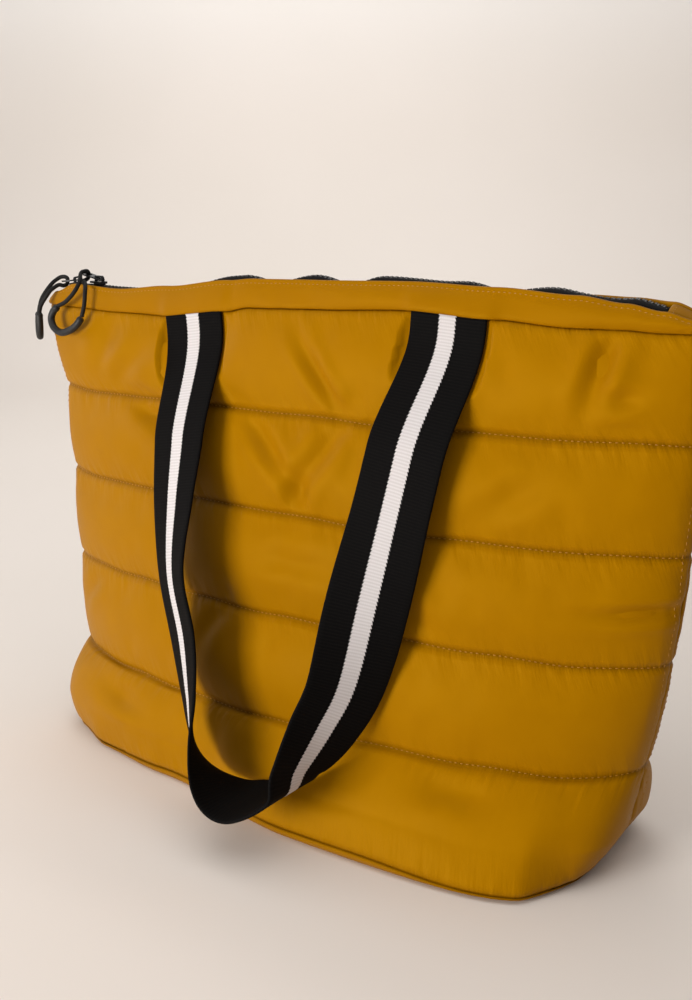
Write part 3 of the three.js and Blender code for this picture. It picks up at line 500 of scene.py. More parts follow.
def wall_grid(side):
    """The start shape of a wall: points, distance along, distance from a seam, pin weights and each row's
    share of the height.
    """
    ups = []
    for low, high in zip(SEAMS[:-1], SEAMS[1:]):
        ups += list(np.linspace(low, high, CHANNEL_ROWS, endpoint=False))
    ups = np.array(ups + [1.0])
    rows, alongs, seams, outs = [], [], [], []
    last = SEAMS[-2]
    for up in ups:
        middle, half, deep, square = outline(up)
        turn, run = even_turns(half, deep, square, WALL_COLUMNS)
        flat_x = middle - half * np.cos(math.pi * turn)
        flat_y = depth_at(half, deep, square, flat_x - middle)
        edge = np.minimum(flat_x - middle + half, middle + half - flat_x) / SEAM_FADE
        fade = np.sqrt(np.clip(edge + flat_y / SEAM_FADE, 0, 1))
        k = min(int(np.searchsorted(SEAMS, up, side="right")) - 1, len(SEAMS) - 2)
        t = (up - SEAMS[k]) / (SEAMS[k + 1] - SEAMS[k])
        puff = max(0.0, math.sin(math.pi * t)) ** 0.62 * fade
        out = puff * PUFF * 0.72
        wide = half + out * PUFF_ENDS
        x = middle - wide * np.cos(math.pi * turn)
        y = depth_at(wide, deep + out, square, x - middle) * sagging(side, x, up)
        plain_z = BASE_SEAM + (BODY_HEIGHT - BASE_SEAM) * min(up, last)
        plain_z = plain_z - (BASE_SEAM - hem(x)) * max(0, 1 - up / SEAMS[1]) ** 2
        if up > last:
            share = (up - last) / (1 - last)
            z = plain_z + (mouth(flat_x, "seam") - 0.3 - plain_z) * share
        else:
            z = plain_z
        wobble = min(1.0, up * 8, (1 - up) * 8)
        z = z + wobble * 1.3 * wave(side * 3 + 40 + round(up * 3), x, 46)
        rows.append(np.stack([x, side * np.maximum(y, 0.15), z], 1))
        alongs.append(np.linspace(0, run, WALL_COLUMNS))
        outs.append(out)
        height = (SEAMS[k + 1] - SEAMS[k]) * (BODY_HEIGHT - BASE_SEAM)
        near = min(t, 1 - t) * height
        seams.append(np.minimum(near, np.minimum(alongs[-1], run - alongs[-1]) + 1))
    points = np.array(rows)
    pinned = np.zeros(points.shape[:2])
    pinned[::CHANNEL_ROWS, :] = 1
    pinned[:, 0] = pinned[:, -1] = 1
    return points, np.array(alongs), np.array(seams), pinned, ups


def outward(points, side):
    """Unit normals of a grid of points, pointing out of the bag."""
    across = np.gradient(points, axis=1)
    rising = np.gradient(points, axis=0)
    normals = np.cross(across, rising) * (-side)
    normals /= np.maximum(1e-9, np.linalg.norm(normals, axis=2, keepdims=True))
    return normals


def simulate(points, pinned, side):
    """Pressure on a cloth that is held at its seams and cut a little larger than its frame."""
    rows, cols = pinned.shape
    piece = mesh_object("cloth_start", points.reshape(-1, 3), grid_faces(rows, cols, flip=side > 0))
    group = piece.vertex_groups.new(name="pin")
    for index in np.flatnonzero(pinned.ravel()):
        group.add([int(index)], 1.0, "REPLACE")
    cloth = piece.modifiers.new("cloth", "CLOTH")
    settings = cloth.settings
    settings.quality = 6
    settings.mass = 0.12
    settings.tension_stiffness = 22
    settings.compression_stiffness = 14
    settings.shear_stiffness = 6
    settings.bending_stiffness = 2.5
    settings.air_damping = 2
    settings.vertex_group_mass = "pin"
    settings.use_pressure = True
    settings.uniform_pressure_force = 3.2
    settings.shrink_min = -0.006
    settings.effector_weights.gravity = 0
    cloth.collision_settings.use_collision = False
    cloth.point_cache.frame_start = 1
    cloth.point_cache.frame_end = CLOTH_FRAMES
    scene = bpy.context.scene
    for step in range(1, CLOTH_FRAMES + 1):
        scene.frame_set(step)
    evaluated = piece.evaluated_get(bpy.context.evaluated_depsgraph_get())
    found = np.empty(rows * cols * 3)
    evaluated.data.vertices.foreach_get("co", found)
    scene.frame_set(1)
    bpy.data.objects.remove(piece)
    return found.reshape(rows, cols, 3) / MM


def fold_depth(x, z, folds):
    sum_ = np.zeros_like(x)
    for fx, fz, heading, long, wide, deep in folds:
        c, s = math.cos(math.radians(heading)), math.sin(math.radians(heading))
        u = ((x - fx) * c + (z - fz) * s) / long
        v = (-(x - fx) * s + (z - fz) * c) / wide
        sum_ += deep * (np.exp(-u * u - v * v) - 0.35 * np.exp(-u * u - (np.abs(v) - 1.9) ** 2))
    return sum_


def finer(grid):
    """A grid of twice the fineness through a smooth run of its points."""

    def once(g):
        padded = np.concatenate([2 * g[:1] - g[1:2], g, 2 * g[-1:] - g[-2:-1]])
        half = (-padded[:-3] + 9 * padded[1:-2] + 9 * padded[2:-1] - padded[3:]) / 16
        out = np.empty((2 * len(g) - 1,) + g.shape[1:])
        out[::2] = g
        out[1::2] = half
        return out

    return np.swapaxes(once(np.swapaxes(once(grid), 0, 1)), 0, 1)


strap_points = {}


def clear_of_strap(points, side):
    """Presses a wall in where a handle lies on it."""
    strap = strap_points[side]
    tree = kdtree.KDTree(len(strap))
    for index, p in enumerate(strap):
        tree.insert((p[0], 0, p[2]), index)
    tree.balance()
    flat = points.reshape(-1, 3)
    low, high = strap.min(0) - 6, strap.max(0) + 6
    for k, p in enumerate(flat):
        if not (low[0] < p[0] < high[0] and low[2] < p[2] < high[2]):
            continue
        near = tree.find_range((p[0], 0, p[2]), 5.0)
        if near:
            limit = min(abs(strap[i][1]) + max(0.0, d - 2.0) * 0.8 for _, i, d in near) - 0.7
            if abs(p[1]) > limit:
                flat[k][1] = side * limit
    return flat.reshape(points.shape)


# ---------------------------------------------------------------- handles
def smooth_run(rows, count):
    """Points along a smooth curve through rows, evenly in the curve's own parameter."""
    rows = np.array(rows, float)
    padded = np.concatenate([2 * rows[:1] - rows[1:2], rows, 2 * rows[-1:] - rows[-2:-1]])
    at = np.linspace(0, len(rows) - 1, count)
    i = np.minimum(at.astype(int), len(rows) - 2)
    t = (at - i)[:, None]
    p0, p1, p2, p3 = (padded[i + k] for k in range(4))
    return 0.5 * (
        2 * p1
        + (p2 - p0) * t
        + (2 * p0 - 5 * p1 + 4 * p2 - p3) * t**2
        + (3 * p1 - p0 - 3 * p2 + p3) * t**3
    )


def even_run(points, count):
    """Shares of the way at which a run of points is evenly spaced."""
    run = np.concatenate([[0], np.cumsum(np.linalg.norm(np.diff(points, axis=0), axis=1))])
    return np.linspace(0, run[-1], count), run


HANDLE_ROWS = 360
SECTION = 17
HANDLE_EASE = 46  # rows over which a handle's end leaves the wall


def make_handle(side):
    middles, widths = [], []
    for across, up, stand, turn, lean in HANDLE_LINE:
        x = across * HANDLE_SPREAD / 2
        middle, half, deep, square = outline(up)
        wall = float(depth_at(half, deep, square, x - middle))
        last = SEAMS[-2]
        z = BASE_SEAM + (BODY_HEIGHT - BASE_SEAM) * min(up, last)
        if up > last:
            z += (float(mouth(x, "seam")) - 0.3 - z) * (up - last) / (1 - last)
        middles.append((x, -wall - 0.6 - WEBBING / 2 - stand * HANDLE_STAND, z))
        turn, lean = math.radians(turn), math.radians(lean)
        flat = math.cos(lean)
        widths.append((math.cos(turn) * flat, math.sin(turn) * flat, math.sin(lean)))
    line = smooth_run(middles, 1200)
    wide = smooth_run(widths, 1200)
    steps, run = even_run(line, HANDLE_ROWS)
    line = np.stack([np.interp(steps, run, line[:, k]) for k in range(3)], 1)
    wide = np.stack([np.interp(steps, run, wide[:, k]) for k in range(3)], 1)
    along = np.gradient(line, axis=0)
    along /= np.linalg.norm(along, axis=1, keepdims=True)
    wide -= along * (wide * along).sum(1, keepdims=True)
    wide /= np.linalg.norm(wide, axis=1, keepdims=True)
    normal = np.cross(along, wide)
    # The section: a flat oblong with round edges, as (across, out) pairs.
    half, thick = WEBBING_WIDTH / 2, WEBBING / 2
    flats = np.linspace(-half + thick, half - thick, SECTION)
    arc = [
        (half - thick + thick * math.cos(b), thick * math.sin(b), b > 0)
        for b in np.radians(np.linspace(-90, 90, 5)[1:-1])
    ]
    ring = [(a, -thick, 0) for a in flats] + arc
    ring += [(a, thick, 1) for a in flats[::-1]]
    ring += [(-a, o, face) for a, o, face in arc[::-1]]
    points, across, alongs, outer = [], [], [], []
    for k in range(HANDLE_ROWS):
        ends = min(1.0, min(k, HANDLE_ROWS - 1 - k) / HANDLE_EASE)
        for a, o, face in ring:
            p = line[k] + wide[k] * a + normal[k] * o
            if ends < 1:
                m, h, d, q = outline(1.0)
                y = -float(depth_at(h, d, q, p[0] - m)) - 0.9 - (thick + o)
                z = float(mouth(p[0], "seam")) - 0.9 + min(k, HANDLE_ROWS - 1 - k) * -steps[1]
                ease = ends * ends * (3 - 2 * ends)
                p = np.array([p[0], y + (p[1] - y) * ease, z + (p[2] - z) * ease])
            points.append((p[0], p[1] * -side, p[2]))
            across.append(a)
            alongs.append(steps[k])
            outer.append(float(face))
    points = np.array(points)
    count = len(ring)
    faces = grid_faces(HANDLE_ROWS, count, flip=side < 0, wrap=True)
    ends = [list(range(count)), list(range((HANDLE_ROWS - 1) * count, HANDLE_ROWS * count))]
    faces += [ends[0] if side < 0 else ends[0][::-1], ends[1][::-1] if side < 0 else ends[1]]
    name = "front" if side < 0 else "back"
    piece = mesh_object("webbing_handle_" + name, points, faces)
    attribute(piece, "across", across)
    attribute(piece, "along", alongs)
    attribute(piece, "outer", outer)
    finish_piece(piece, webbing, "webbing", "handle_" + name)
    strap_points[side] = points
    return piece


for side in (-1, 1):
    make_handle(side)


# ---------------------------------------------------------------- stitches
STITCH_RINGS = ((-0.5, -1.0, 0.35), (-0.25, 0.1, 1.0), (0.25, 0.1, 1.0), (0.5, -1.0, 0.35))


def stitch_row(line, normals, pitch, length, radius, sink=0.15):
    """Points and faces of small thread loops along a line of points."""
    line, normals = np.asarray(line), np.asarray(normals)
    run = np.concatenate([[0], np.cumsum(np.linalg.norm(np.diff(line, axis=0), axis=1))])
    places = np.arange(pitch / 2, run[-1], pitch)
    at = lambda d: np.array([np.interp(d, run, line[:, k]) for k in range(3)])
    up_at = lambda d: np.array([np.interp(d, run, normals[:, k]) for k in range(3)])
    points, faces = [], []
    for place in places:
        start = len(points)
        for share, lift, thin in STITCH_RINGS:
            d = np.clip(place + share * length, 0, run[-1])
            here, out = at(d), up_at(d)
            ahead = at(min(run[-1], d + 0.4)) - at(max(0, d - 0.4))
            beside = np.cross(ahead, out)
            beside /= max(1e-9, np.linalg.norm(beside))
            centre = here + out * (radius * lift - sink)
            for a in range(5):
                angle = 2 * math.pi * a / 5
                points.append(centre + (beside * math.cos(angle) + out * math.sin(angle)) * radius * thin)
        faces += grid_faces(4, 5, start, wrap=True)
        faces += [list(range(start, start + 5))[::-1], list(range(start + 15, start + 20))]
    return points, faces


class Stitching:
    def __init__(self):
        self.points, self.faces = [], []

    def add(self, *args, **kwargs):
        points, faces = stitch_row(*args, **kwargs)
        start = len(self.points)
        self.points += points
        self.faces += [[v + start for v in f] for f in faces]

    def piece(self, name):
        made = mesh_object(name, self.points, self.faces)
        finish_piece(made, thread, "quilted_nylon")
        return made


stitching = Stitching()


# ---------------------------------------------------------------- walls
def make_wall(side):
    points, along, seam, pinned, ups = wall_grid(side)
    start = points.copy()
    free_rows = 1 - pinned[1:-1, :, None]
    moved = simulate(points, pinned, side)
    shift = moved - start
    for _ in range(4):
        eased = (shift[:-2] + 2 * shift[1:-1] + shift[2:]) / 4
        shift[1:-1] = eased * free_rows + shift[1:-1] * (1 - free_rows)
        shift[:, 1:-1] = (shift[:, :-2] + 2 * shift[:, 1:-1] + shift[:, 2:]) / 4
    reach = np.linalg.norm(shift, axis=2, keepdims=True)
    points = start + shift * np.minimum(1, CLOTH_REACH / np.maximum(reach, 1e-6))
    normals = outward(points, side)
    mirror = -side
    x = points[..., 0] * mirror
    free = np.clip(seam / 9, 0, 1)
    press = fold_depth(x, points[..., 2], FOLDS) * free * FOLD_GAIN
    points = points - normals * press[..., None]
    points = finer(points)
    along, seam = finer(along[..., None])[..., 0], np.maximum(0, finer(seam[..., None])[..., 0])
    normals = outward(points, side)
    lean = along + points[..., 2] * 0.45
    pucker = wave2(3 + side, lean, points[..., 2] * 0.3, 4.2)
    pucker = pucker * np.exp(-seam / 6) * (1 - np.exp(-seam / 1.2))
    groove = 0.9 * np.exp(-((seam / 1.6) ** 2))
    points = points + normals * (pucker * 0.55 - groove)[..., None]
    points[..., 1] = side * np.maximum(np.abs(points[..., 1]), 0.15)
    points = clear_of_strap(points, side)
    rows, cols = points.shape[:2]
    rise = points[..., 2].copy()
    flat = points.reshape(-1, 3)
    faces = grid_faces(rows, cols, flip=side > 0)
    # The inner face: a coarser grid 3 mm in, joined to the outer one all round.
    inner = points - outward(points, side) * 3.2
    inner[:, 0] = points[:, 0] + np.array([3, 0, 0])
    inner[:, -1] = points[:, -1] - np.array([3, 0, 0])
    keep_r = np.unique(np.r_[np.arange(0, rows, INNER_STEP), rows - 1])
    keep_c = np.unique(np.r_[np.arange(0, cols, INNER_STEP), cols - 1])
    back = inner[np.ix_(keep_r, keep_c)]
    offset = len(flat)
    faces += grid_faces(len(keep_r), len(keep_c), offset, flip=side < 0)

    def rim(outer_ids, inner_ids, turn):
        for k in range(len(inner_ids) - 1):
            run = outer_ids[k * INNER_STEP : min(len(outer_ids) - 1, (k + 1) * INNER_STEP) + 1]
            face = list(run) + [inner_ids[k + 1], inner_ids[k]]
            faces.append(face[::-1] if turn else face)

    nr, nc = len(keep_r), len(keep_c)
    top = (rows - 1) * cols
    rim(list(range(cols)), [offset + j for j in range(nc)], side < 0)
    rim([top + j for j in range(cols)], [offset + (nr - 1) * nc + j for j in range(nc)], side > 0)
    rim([i * cols for i in range(rows)], [offset + i * nc for i in range(nr)], side > 0)
    rim([i * cols + cols - 1 for i in range(rows)], [offset + i * nc + nc - 1 for i in range(nr)], side < 0)
    piece_name = "quilted_wall_" + ("front" if side < 0 else "back")
    piece = mesh_object(piece_name, np.concatenate([flat, back.reshape(-1, 3)]), faces)
    extra = np.zeros(back.shape[0] * back.shape[1])
    attribute(piece, "along", np.concatenate([along.ravel(), extra]))
    attribute(piece, "seam", np.concatenate([seam.ravel(), extra + 50]))
    attribute(piece, "rise", np.concatenate([rise.ravel(), extra]))
    finish_piece(piece, quilt, "quilted_nylon", "front_panel" if side < 0 else "back_panel")
    normals = outward(points, side)
    for k in range(1, len(SEAMS) - 1):
        row = 2 * k * CHANNEL_ROWS
        stitching.add(points[row, 3:-3], normals[row, 3:-3], 3.5, 2.5, 0.42)
    for column in (5, cols - 6):
        stitching.add(points[2:-2, column], normals[2:-2, column], 4.0, 2.6, 0.4)


for side in (-1, 1):
    make_wall(side)


# ---------------------------------------------------------------- base
def make_base():
    half_steps = 140
    middle, _, _, square = outline(0)
    # Rows from the rim to the floor: a share of the hem's height, an inset and an outward swell.
    profile = [
        (0.97, 0.02, -3.0),
        (0.97, 0.0, -0.5),
        (0.9, 0.02, 0.2),
        (0.76, 0.08, 0.5),
        (0.58, 0.18, 0.5),
        (0.38, 0.34, 0.3),
        (0.2, 0.54, 0.1),
        (0.08, 0.76, 0.0),
        (0.02, 0.92, 0.0),
        (0.0, 1.06, 0.0),
        (0.0, 1.6, 0.0),
    ]
    points, along, seam, rise = [], [], [], []
    cols = 0
    for rise_share, inset, out in profile:
        half = (BASE_WIDTH + (FLOOR_WIDTH - BASE_WIDTH) * inset) / 2 + out * 0.7
        deep = (BASE_DEPTH + (FLOOR_DEPTH - BASE_DEPTH) * inset) / 2 + out
        turn, run = even_turns(half, deep, square, half_steps + 1)
        x = -half * np.cos(math.pi * turn)
        y = depth_at(half, deep, square, x)
        front, back = y * sagging(-1, middle + x, 0), y * sagging(1, middle + x, 0)
        ring = [(middle + a, -b) for a, b in zip(x, front)] + [
            (middle + a, b) for a, b in zip(x[-2:0:-1], back[-2:0:-1])
        ]
        cols = len(ring)
        for j, (a, b) in enumerate(ring):
            s = 2 * run * j / cols
            top = float(hem(a))
            z = top * rise_share
            ripple = 0.3 * float(wave(90, [s + 3 * z], 6)[0]) * math.exp(-(top - z) / 3)
            angle = math.atan2(b, a - middle)
            points.append((a + ripple * math.cos(angle), b + ripple * math.sin(angle), z))
            along.append(s)
            seam.append(top - z)
            rise.append(z)
    faces = grid_faces(len(profile), cols, flip=True, wrap=True)
    rings = [(0.0, 0.5), (4.0, 0.5), (4.0, 0.92)]
    for z, share in rings:
        for j in range(cols):
            a, b, _ = points[(len(profile) - 1) * cols + j]
            points.append((middle + (a - middle) * share, b * share, z))
            along.append(along[j])
            seam.append(30)
            rise.append(z)
    last = len(profile) - 1
    faces += grid_faces(2, cols, last * cols, flip=True, wrap=True)
    count = len(profile)
    faces.append([count * cols + j for j in range(cols)][::-1])
    faces.append([(count + 1) * cols + j for j in range(cols)])
    faces += grid_faces(2, cols, (count + 1) * cols, wrap=True)
    for j in range(cols):
        k = (j + 1) % cols
        a, b = (count + 2) * cols + j, (count + 2) * cols + k
        faces.append([a, b, k, j])
    piece = mesh_object("padded_base", points, faces)
    attribute(piece, "along", along)
    attribute(piece, "seam", seam)
    attribute(piece, "rise", rise)
    finish_piece(piece, quilt, "quilted_nylon", "base_panel")
    return piece


make_base()


# ---------------------------------------------------------------- band
BAND_COLUMNS = 300
BAND_JOIN = -63
BAND_LAP = 1.1  # how far the band's lower edge laps over the wall's top
MITRE_AT, MITRE_RUN = 232, 12  # the slanting seam at the band's right end


def band_depth(x, t):
    """Half depth of the band's outside at x and a share t of its height."""
    middle, half, deep, square = outline(1.0)
    at_strap = np.exp(-(np.maximum(0, np.abs(np.abs(x) - HANDLE_SPREAD / 2) - 24) / 7) ** 2)
    proud = 0.9 + (BAND_PROUD - 0.9) * at_strap
    outer_half = half + BAND_PROUD / 2 * (1 - t)
    low = depth_at(outer_half, deep + proud, square, x)
    high = depth_at(half, MOUTH_DEPTH / 2, MOUTH_SQUARE, x)
    return low + (high - low) * t


def make_band(side):
    column = "front" if side < 0 else "back"
    _, half, deep, square = outline(1.0)
    turn, run = even_turns(half, deep, square, BAND_COLUMNS)
    x = -half * np.cos(math.pi * turn)
    s = np.linspace(0, run, BAND_COLUMNS)
    seam_z, top_z = mouth(x, "seam") + 0.2, mouth(x, column)
    fold = 1.4
    rows = []
    seams = []
    for t in (0.0, 0.04, 0.1, 0.2, 0.32, 0.46, 0.6, 0.74, 0.86, 0.94):
        y = band_depth(x, t) + 1.3 * math.sin(math.pi * min(1, t * 1.08)) ** 0.8
        y = y - 0.9 * math.exp(-t / 0.03) * 0.8
        y = y + 0.4 * wave(60 + side, s + 9 * t, 13) * math.exp(-t / 0.3)
        y = y + 0.8 * wave(64 + side, s + 16 * t, 42) * math.sin(math.pi * t)
        y = y + 0.35 / (1 + np.exp(-(x - BAND_JOIN) / 0.6))
        y = y - 0.7 * np.exp(-(((x - MITRE_AT - MITRE_RUN * t) / 0.8) ** 2))
        y = y - 0.35 * math.exp(-(((t - 0.88) / 0.05) ** 2))
        rows.append((y, seam_z + (top_z - fold - seam_z) * t / 0.94 - BAND_LAP * max(0, 1 - t / 0.1)))
        seams.append(min(t * 22, 60))
    y_top = rows[-1][0]
    for angle in (35, 70, 110, 145):
        c, v = math.cos(math.radians(angle)), math.sin(math.radians(angle))
        rows.append((y_top - fold * (1 - c), top_z - fold + fold * v))
        seams.append(20)
    for t in (0.94, 0.6, 0.3, 0.0):
        inside = band_depth(x, t) - BAND_WALL - (1 - t) * 2
        y = np.maximum(0.15, np.minimum(rows[9][0] - 2 * fold, inside))
        rows.append((y, seam_z + (top_z - fold - seam_z) * t / 0.94))
        seams.append(30)
    points = []
    for y, z in rows:
        points.append(np.stack([x, side * np.maximum(y, 0.15), z], 1))
    points = np.array(points)
    count = len(rows)
    flat = points.reshape(-1, 3)
    faces = grid_faces(count, BAND_COLUMNS, flip=side > 0)
    for j in range(BAND_COLUMNS - 1):
        face = [(count - 1) * BAND_COLUMNS + j, (count - 1) * BAND_COLUMNS + j + 1, j + 1, j]
        faces.append(face if side < 0 else face[::-1])
    left_end = [i * BAND_COLUMNS for i in range(count)]
    ends = [left_end, [k + BAND_COLUMNS - 1 for k in left_end]]
    faces.append(ends[0] if side < 0 else ends[0][::-1])
    faces.append(ends[1][::-1] if side < 0 else ends[1])
    piece = mesh_object("mouth_band_" + column, flat, faces)
    attribute(piece, "along", np.tile(s, count))
    attribute(piece, "seam", np.repeat(seams, BAND_COLUMNS))
    attribute(piece, "rise", flat[:, 2])
    finish_piece(piece, plain, "plain_nylon", "band_" + column)
    normals = outward(points[:10], side)
    stitching.add(points[8, 6:-6], normals[8, 6:-6], 3.3, 2.4, 0.36)


for side in (-1, 1):
    make_band(side)


# ---------------------------------------------------------------- zip
def crest(x):
    share = np.asarray(x) / MOUTH_END
    y = ZIP_SWAY * read(CREST, "across", "sway", share, ease=True)
    z = mouth(x, "front") + ZIP_WAVE * read(CREST, "across", "rise", share, ease=True)
    return y, z


def closed_loft(name, rings, material, slot, *nodes, attributes=None):
    """A solid through rings of points, with flat ends."""
    rings = np.asarray(rings)
    rows, cols = rings.shape[:2]
    faces = grid_faces(rows, cols, wrap=True)
    faces += [list(range(cols))[::-1], list(range((rows - 1) * cols, rows * cols))]
    piece = mesh_object(name, rings.reshape(-1, 3), faces)
    made = bmesh.new()
    made.from_mesh(piece.data)
    bmesh.ops.recalc_face_normals(made, faces=made.faces)
    made.to_mesh(piece.data)
    made.free()
    for key, values in (attributes or {}).items():
        attribute(piece, key, values)
    finish_piece(piece, material, slot, *nodes)
    return piece


def make_tape(side):
    column = "front" if side < 0 else "back"
    xs = np.linspace(ZIP_LEFT, ZIP_RIGHT, 260)
    y0, z0 = crest(xs)
    edge = mouth(xs, column)
    rings = []
    for x, cy, cz, e in zip(xs, y0, z0, edge):
        level = cz - CHAIN_HEIGHT / 2 + TAPE / 2
        high = min(e - 1.4, level)
        wall = float(band_depth(np.array([x]), 0.9)[0]) - BAND_WALL - 1.4
        inner = cy * side + 0.9
        flat = min(cy * side + TAPE_FLAT, inner + 0.85 * (wall - inner))
        top = [
            (inner, level),
            (flat, level - 0.1),
            ((flat + wall) / 2, (level + high) / 2 - 0.6),
            (wall, high - 2.2),
            (wall, high - TAPE_DROP - 2),
        ]
        under = [(a, b - TAPE * 0.7) for a, b in top[::-1]]
        rings.append([(x, side * a, b) for a, b in top + under])
    closed_loft("zip_tape_cloth_" + column, rings, tape_cloth, "zip_tape", "zip_tape_" + column)


def make_teeth():
    points, faces = [], []
    block = [
        (-0.5, -0.5, -0.5),
        (0.5, -0.5, -0.5),
        (0.5, 0.5, -0.5),
        (-0.5, 0.5, -0.5),
        (-0.32, -0.38, 0.5),
        (0.32, -0.38, 0.5),
        (0.32, 0.38, 0.5),
        (-0.32, 0.38, 0.5),
    ]
    quads = [(0, 3, 2, 1), (4, 5, 6, 7), (0, 1, 5, 4), (1, 2, 6, 5), (2, 3, 7, 6), (3, 0, 4, 7)]
    xs = np.arange(CHAIN_LEFT, CHAIN_RIGHT - 0.8, TOOTH_PITCH)
    ys, zs = crest(xs)
    _, ahead_z = crest(xs + 0.5)
    _, behind_z = crest(xs - 0.5)
    for k, (x, y, z) in enumerate(zip(xs, ys, zs)):
        slope = math.atan(ahead_z[k] - behind_z[k])
        hand = 1 if k % 2 else -1
        start = len(points)
        for a, b, c in block:
            u, v, w = a * 1.5, b * 2.7 + hand * 0.65, c * 1.9
            points.append(
                (
                    x + u * math.cos(slope) - w * math.sin(slope),
                    y + v,
                    z - CHAIN_HEIGHT / 2 + u * math.sin(slope) + w * math.cos(slope) + 0.2,
                )
            )
        faces += [[start + i for i in q] for q in quads]
    piece = mesh_object("zip_teeth", points, faces, smooth=False)
    finish_piece(piece, teeth, "zip_teeth", "zip_chain")
    return piece


make_tape(-1)
make_tape(1)
make_teeth()


def make_end_tab(name, x_from, x_to):
    """A folded cloth tab over the zip's end, with rounded edges."""
    xs = np.linspace(x_from, x_to, 24)
    rings, along, seam = [], [], []
    for k, x in enumerate(xs):
        share = k / 23
        reach = float(band_depth(np.array([x]), 0.9)[0]) - BAND_WALL - 0.9
        front = (-reach, float(mouth(x, "front")) - 1.0)
        back = (reach, float(mouth(x, "back")) - 1.0)
        crown = 1.0 * math.sin(math.pi * min(1, max(0, share))) ** 0.5
        ring = []
        for q in np.linspace(0, 1, 9):
            y = front[0] + (back[0] - front[0]) * q
            z = front[1] + (back[1] - front[1]) * q
            ring.append((x, y, z + 0.7 * math.sin(math.pi * q) ** 0.6 + 0.2 * crown - 0.2))
        for q in np.linspace(1, 0, 9):
            y = front[0] + (back[0] - front[0]) * q
            z = front[1] + (back[1] - front[1]) * q
            ring.append((x, y, z - TAB_THICK))
        rings.append(ring)
        along += [x] * 18
        seam += [20] * 18
    rings = np.array(rings)
    piece = closed_loft(
        "zip_end_cloth_" + name,
        rings,
        plain,
        "plain_nylon",
        "zip_end_tab_" + name,
        attributes={"along": along, "seam": seam, "rise": rings[..., 1].ravel()},
    )
    up = np.tile([0, 0, 1], (9, 1))
    inner = 3 if name == "right" else 20
    stitching.add(rings[inner, :9], up, 2.6, 1.9, 0.34)
    return piece


make_end_tab("left", -TAB_END, ZIP_LEFT - 0.4)
make_end_tab("right", ZIP_RIGHT + 0.4, TAB_END)

for node in ("zip_slider_right", "zip_slider_left", "pull_tab_right", "pull_tab_left"):
    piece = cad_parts[node]
    piece.data.materials.clear()
    piece.data.materials.append(metal)
    bevel = piece.modifiers.new("soft_edges", "BEVEL")
    bevel.width = 0.28 * MM
    bevel.segments = 2
    bevel.limit_method = "ANGLE"
    bevel.angle_limit = math.radians(35)

# ---------------------------------------------------------------- pull cords
CORDS = {
    "right": {
        "eye": (-211.5, 0, 339.7),
        "cord": [
            (-13.4, -19.8, -21.1),
            (-7.9, -19.6, -19.1),
            (-3.4, -19.4, -16.6),
            (3, -18.4, -11),
            (4.2, -13.8, -4.4),
            (0, -7.6, 1.6),
            (0.6, -3.6, 2.9),
            (0.1, -0.9, 2.4),
            (0, 0, 0),
            (0.2, -1.2, -2.2),
            (0.4, -3.6, -3.3),
            (1.2, -7.2, -3.9),
            (5, -9.4, -4.4),
            (8.8, -12.6, -5.2),
            (13.8, -17.8, -10),
            (14, -20, -19.7),
            (11.3, -20.6, -27.9),
        ],
        "grip": [
            (-14, -19.9, -21.6),
            (-18.4, -20.6, -25.5),
            (-19.9, -21.6, -30.7),
            (-16.4, -22.8, -36.7),
            (-8.4, -23.4, -39.9),
            (1.6, -23.4, -37.5),
            (8.2, -22.6, -33.1),
            (11.1, -20.9, -28.6),
        ],
    },
    "left": {
        "eye": (-234.3, 0, 334.9),
        "cord": [
            (-23.7, -9.6, -22.4),
            (-21.7, -10, -18.2),
            (-16.7, -10.8, -11.2),
            (-11, -6.4, -2.2),
            (-7, -1.8, 2.2),
            (-3.4, -0.3, 3),
            (-0.7, 0, 2.2),
            (0, 0, 0),
            (0.1, -1.4, -2.4),
            (-0.8, -4, -3.2),
            (-2.6, -7, -2.6),
            (-5.6, -11.8, -5.8),
            (-8.4, -14.6, -10.5),
            (-12.5, -16.6, -16.7),
            (-14.9, -16.8, -22),
        ],
        "grip": [
            (-24, -9.5, -23),
            (-25.3, -9.2, -29.2),
            (-24.5, -10.4, -36.4),
            (-20.5, -13.4, -40.6),
            (-16.7, -16.2, -36.2),
            (-15.3, -17, -28.8),
            (-15.1, -16.9, -22.7),
        ],
    },
}


def tube_rings(line, radii, sides):
    """Rings of a tube that does not twist along a line of points."""
    along = np.gradient(line, axis=0)
    along /= np.linalg.norm(along, axis=1, keepdims=True)
    side_way = np.cross(along[0], (0.3, 0.2, 0.9))
    side_way /= np.linalg.norm(side_way)
    rings = []
    for p, a, radius in zip(line, along, radii):
        side_way = side_way - a * side_way.dot(a)
        side_way /= np.linalg.norm(side_way)
        third = np.cross(a, side_way)
        turns = [2 * math.pi * k / sides for k in range(sides)]
        rings.append([p + (side_way * math.cos(t) + third * math.sin(t)) * radius for t in turns])
    return rings


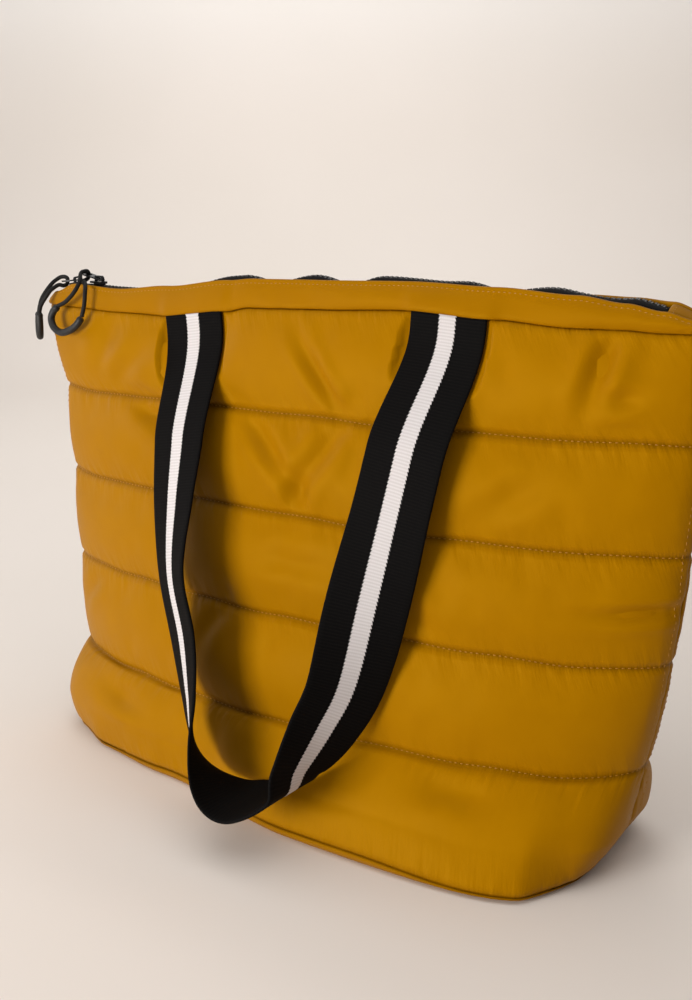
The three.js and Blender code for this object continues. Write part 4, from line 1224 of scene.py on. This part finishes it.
def make_pull(name, eye, cord, grip):
    grip_line = smooth_run(np.array(grip) + eye, 60)
    share = np.linspace(0, 1, 60)
    ends = np.minimum(share, 1 - share)
    radius = GRIP_DIAMETER / 2 * (0.86 + 0.14 * np.clip(ends / 0.12, 0, 1) ** 0.5)
    radius[[0, -1]] *= 0.8
    collar = np.exp(-(((ends - 0.05) / 0.018) ** 2)) * 0.3
    grip_piece = closed_loft(
        "cord_grip_" + name,
        tube_rings(grip_line, radius + collar, 16),
        grip_plastic,
        "pull_grip",
        "pull_grip_" + name,
    )
    route = smooth_run(np.array(cord) + eye, 96) * MM
    curve = bpy.data.curves.new("loop_cord_" + name, "CURVE")
    curve.dimensions = "3D"
    curve.bevel_depth = CORD_DIAMETER / 2 * MM
    curve.bevel_resolution = 4
    spline = curve.splines.new("POLY")
    spline.points.add(len(route) - 1)
    for point, place in zip(spline.points, route):
        point.co = (*place, 1)
    piece = bpy.data.objects.new("loop_cord_" + name, curve)
    bpy.context.scene.collection.objects.link(piece)
    curve.materials.append(cord_cloth)
    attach(piece, "root")
    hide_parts("pull_cord_" + name)


for name, parts in CORDS.items():
    make_pull(name, np.array(parts["eye"]), parts["cord"], parts["grip"])

stitching.piece("seam_stitches")


# ---------------------------------------------------------------- stage and light
def make_stage():
    depth, height, curl = 2.6, 3.2, 0.9
    profile = [(-2.2, 0.0), (0.0, 0.0), (depth - curl, 0.0)]
    for k in range(1, 13):
        angle = math.pi / 2 * k / 12
        profile.append((depth - curl + curl * math.sin(angle), curl * (1 - math.cos(angle))))
    profile.append((depth, height))
    facing = Matrix.Rotation(azimuth, 4, "Z")
    points = []
    for y, z in profile:
        for x in (-4.0, 4.0):
            p = facing @ Vector((x, y, z))
            points.append(tuple(v / MM for v in p))
    floor = mesh_object("floor", points, grid_faces(len(profile), 2))
    s = Shader("floor", Roughness=0.85, Specular_IOR_Level=0.1)
    place = s.node("TexCoord").outputs["Object"]
    height = s.node("SeparateXYZ", {"Vector": place}).outputs["Z"]
    grain = s.noise(place, 1.3, 2.0)
    tone = s.ramp(grain, (0.3, linear(226, 217, 208)), (0.7, linear(230, 221, 213)))
    # Painted light: the backdrop's colour is mixed towards near white from 0.5 m to 1.5 m up, for the
    # brighter light high on the backdrop.
    painted_light_high = s.node(
        "MapRange",
        {"Value": height},
        {"From Min": 0.5, "From Max": 1.5},
        interpolation_type="SMOOTHSTEP",
    )
    s.colour(s.mix(painted_light_high.outputs[0], tone, linear(250, 250, 250)))
    floor.data.materials.append(s.material)


make_stage()


def area_light(name, at, look, size, power, colour):
    data = bpy.data.lights.new(name, "AREA")
    data.shape = "RECTANGLE"
    data.size, data.size_y = size
    data.energy = power
    data.color = colour
    lamp = bpy.data.objects.new(name, data)
    lamp.location = at
    lamp.rotation_euler = (Vector(look) - Vector(at)).to_track_quat("-Z", "Y").to_euler()
    bpy.context.scene.collection.objects.link(lamp)


area_light("key", (-0.45, -1.45, 0.3), (0, 0, 0.17), (0.7, 0.5), 23, (1.0, 0.98, 0.95))
area_light("fill", (-1.5, -0.35, 0.6), (-0.1, 0, 0.2), (0.8, 0.8), 3, (1.0, 1.0, 1.0))
area_light("top", (0.25, -0.2, 2.2), (0.1, 0.2, 0), (2.4, 2.4), 25, (1.0, 0.99, 0.98))
area_light("back", (-0.8, 0.9, 1.9), (-0.9, 1.9, 0.9), (1.6, 0.8), 20, (1.0, 1.0, 1.0))

world = bpy.data.worlds.new("studio")
world.use_nodes = True
world.node_tree.nodes["Background"].inputs["Color"].default_value = (1.0, 0.99, 0.98, 1)
world.node_tree.nodes["Background"].inputs["Strength"].default_value = 0.26
bpy.context.scene.world = world
bpy.context.scene.view_settings.view_transform = "Standard"
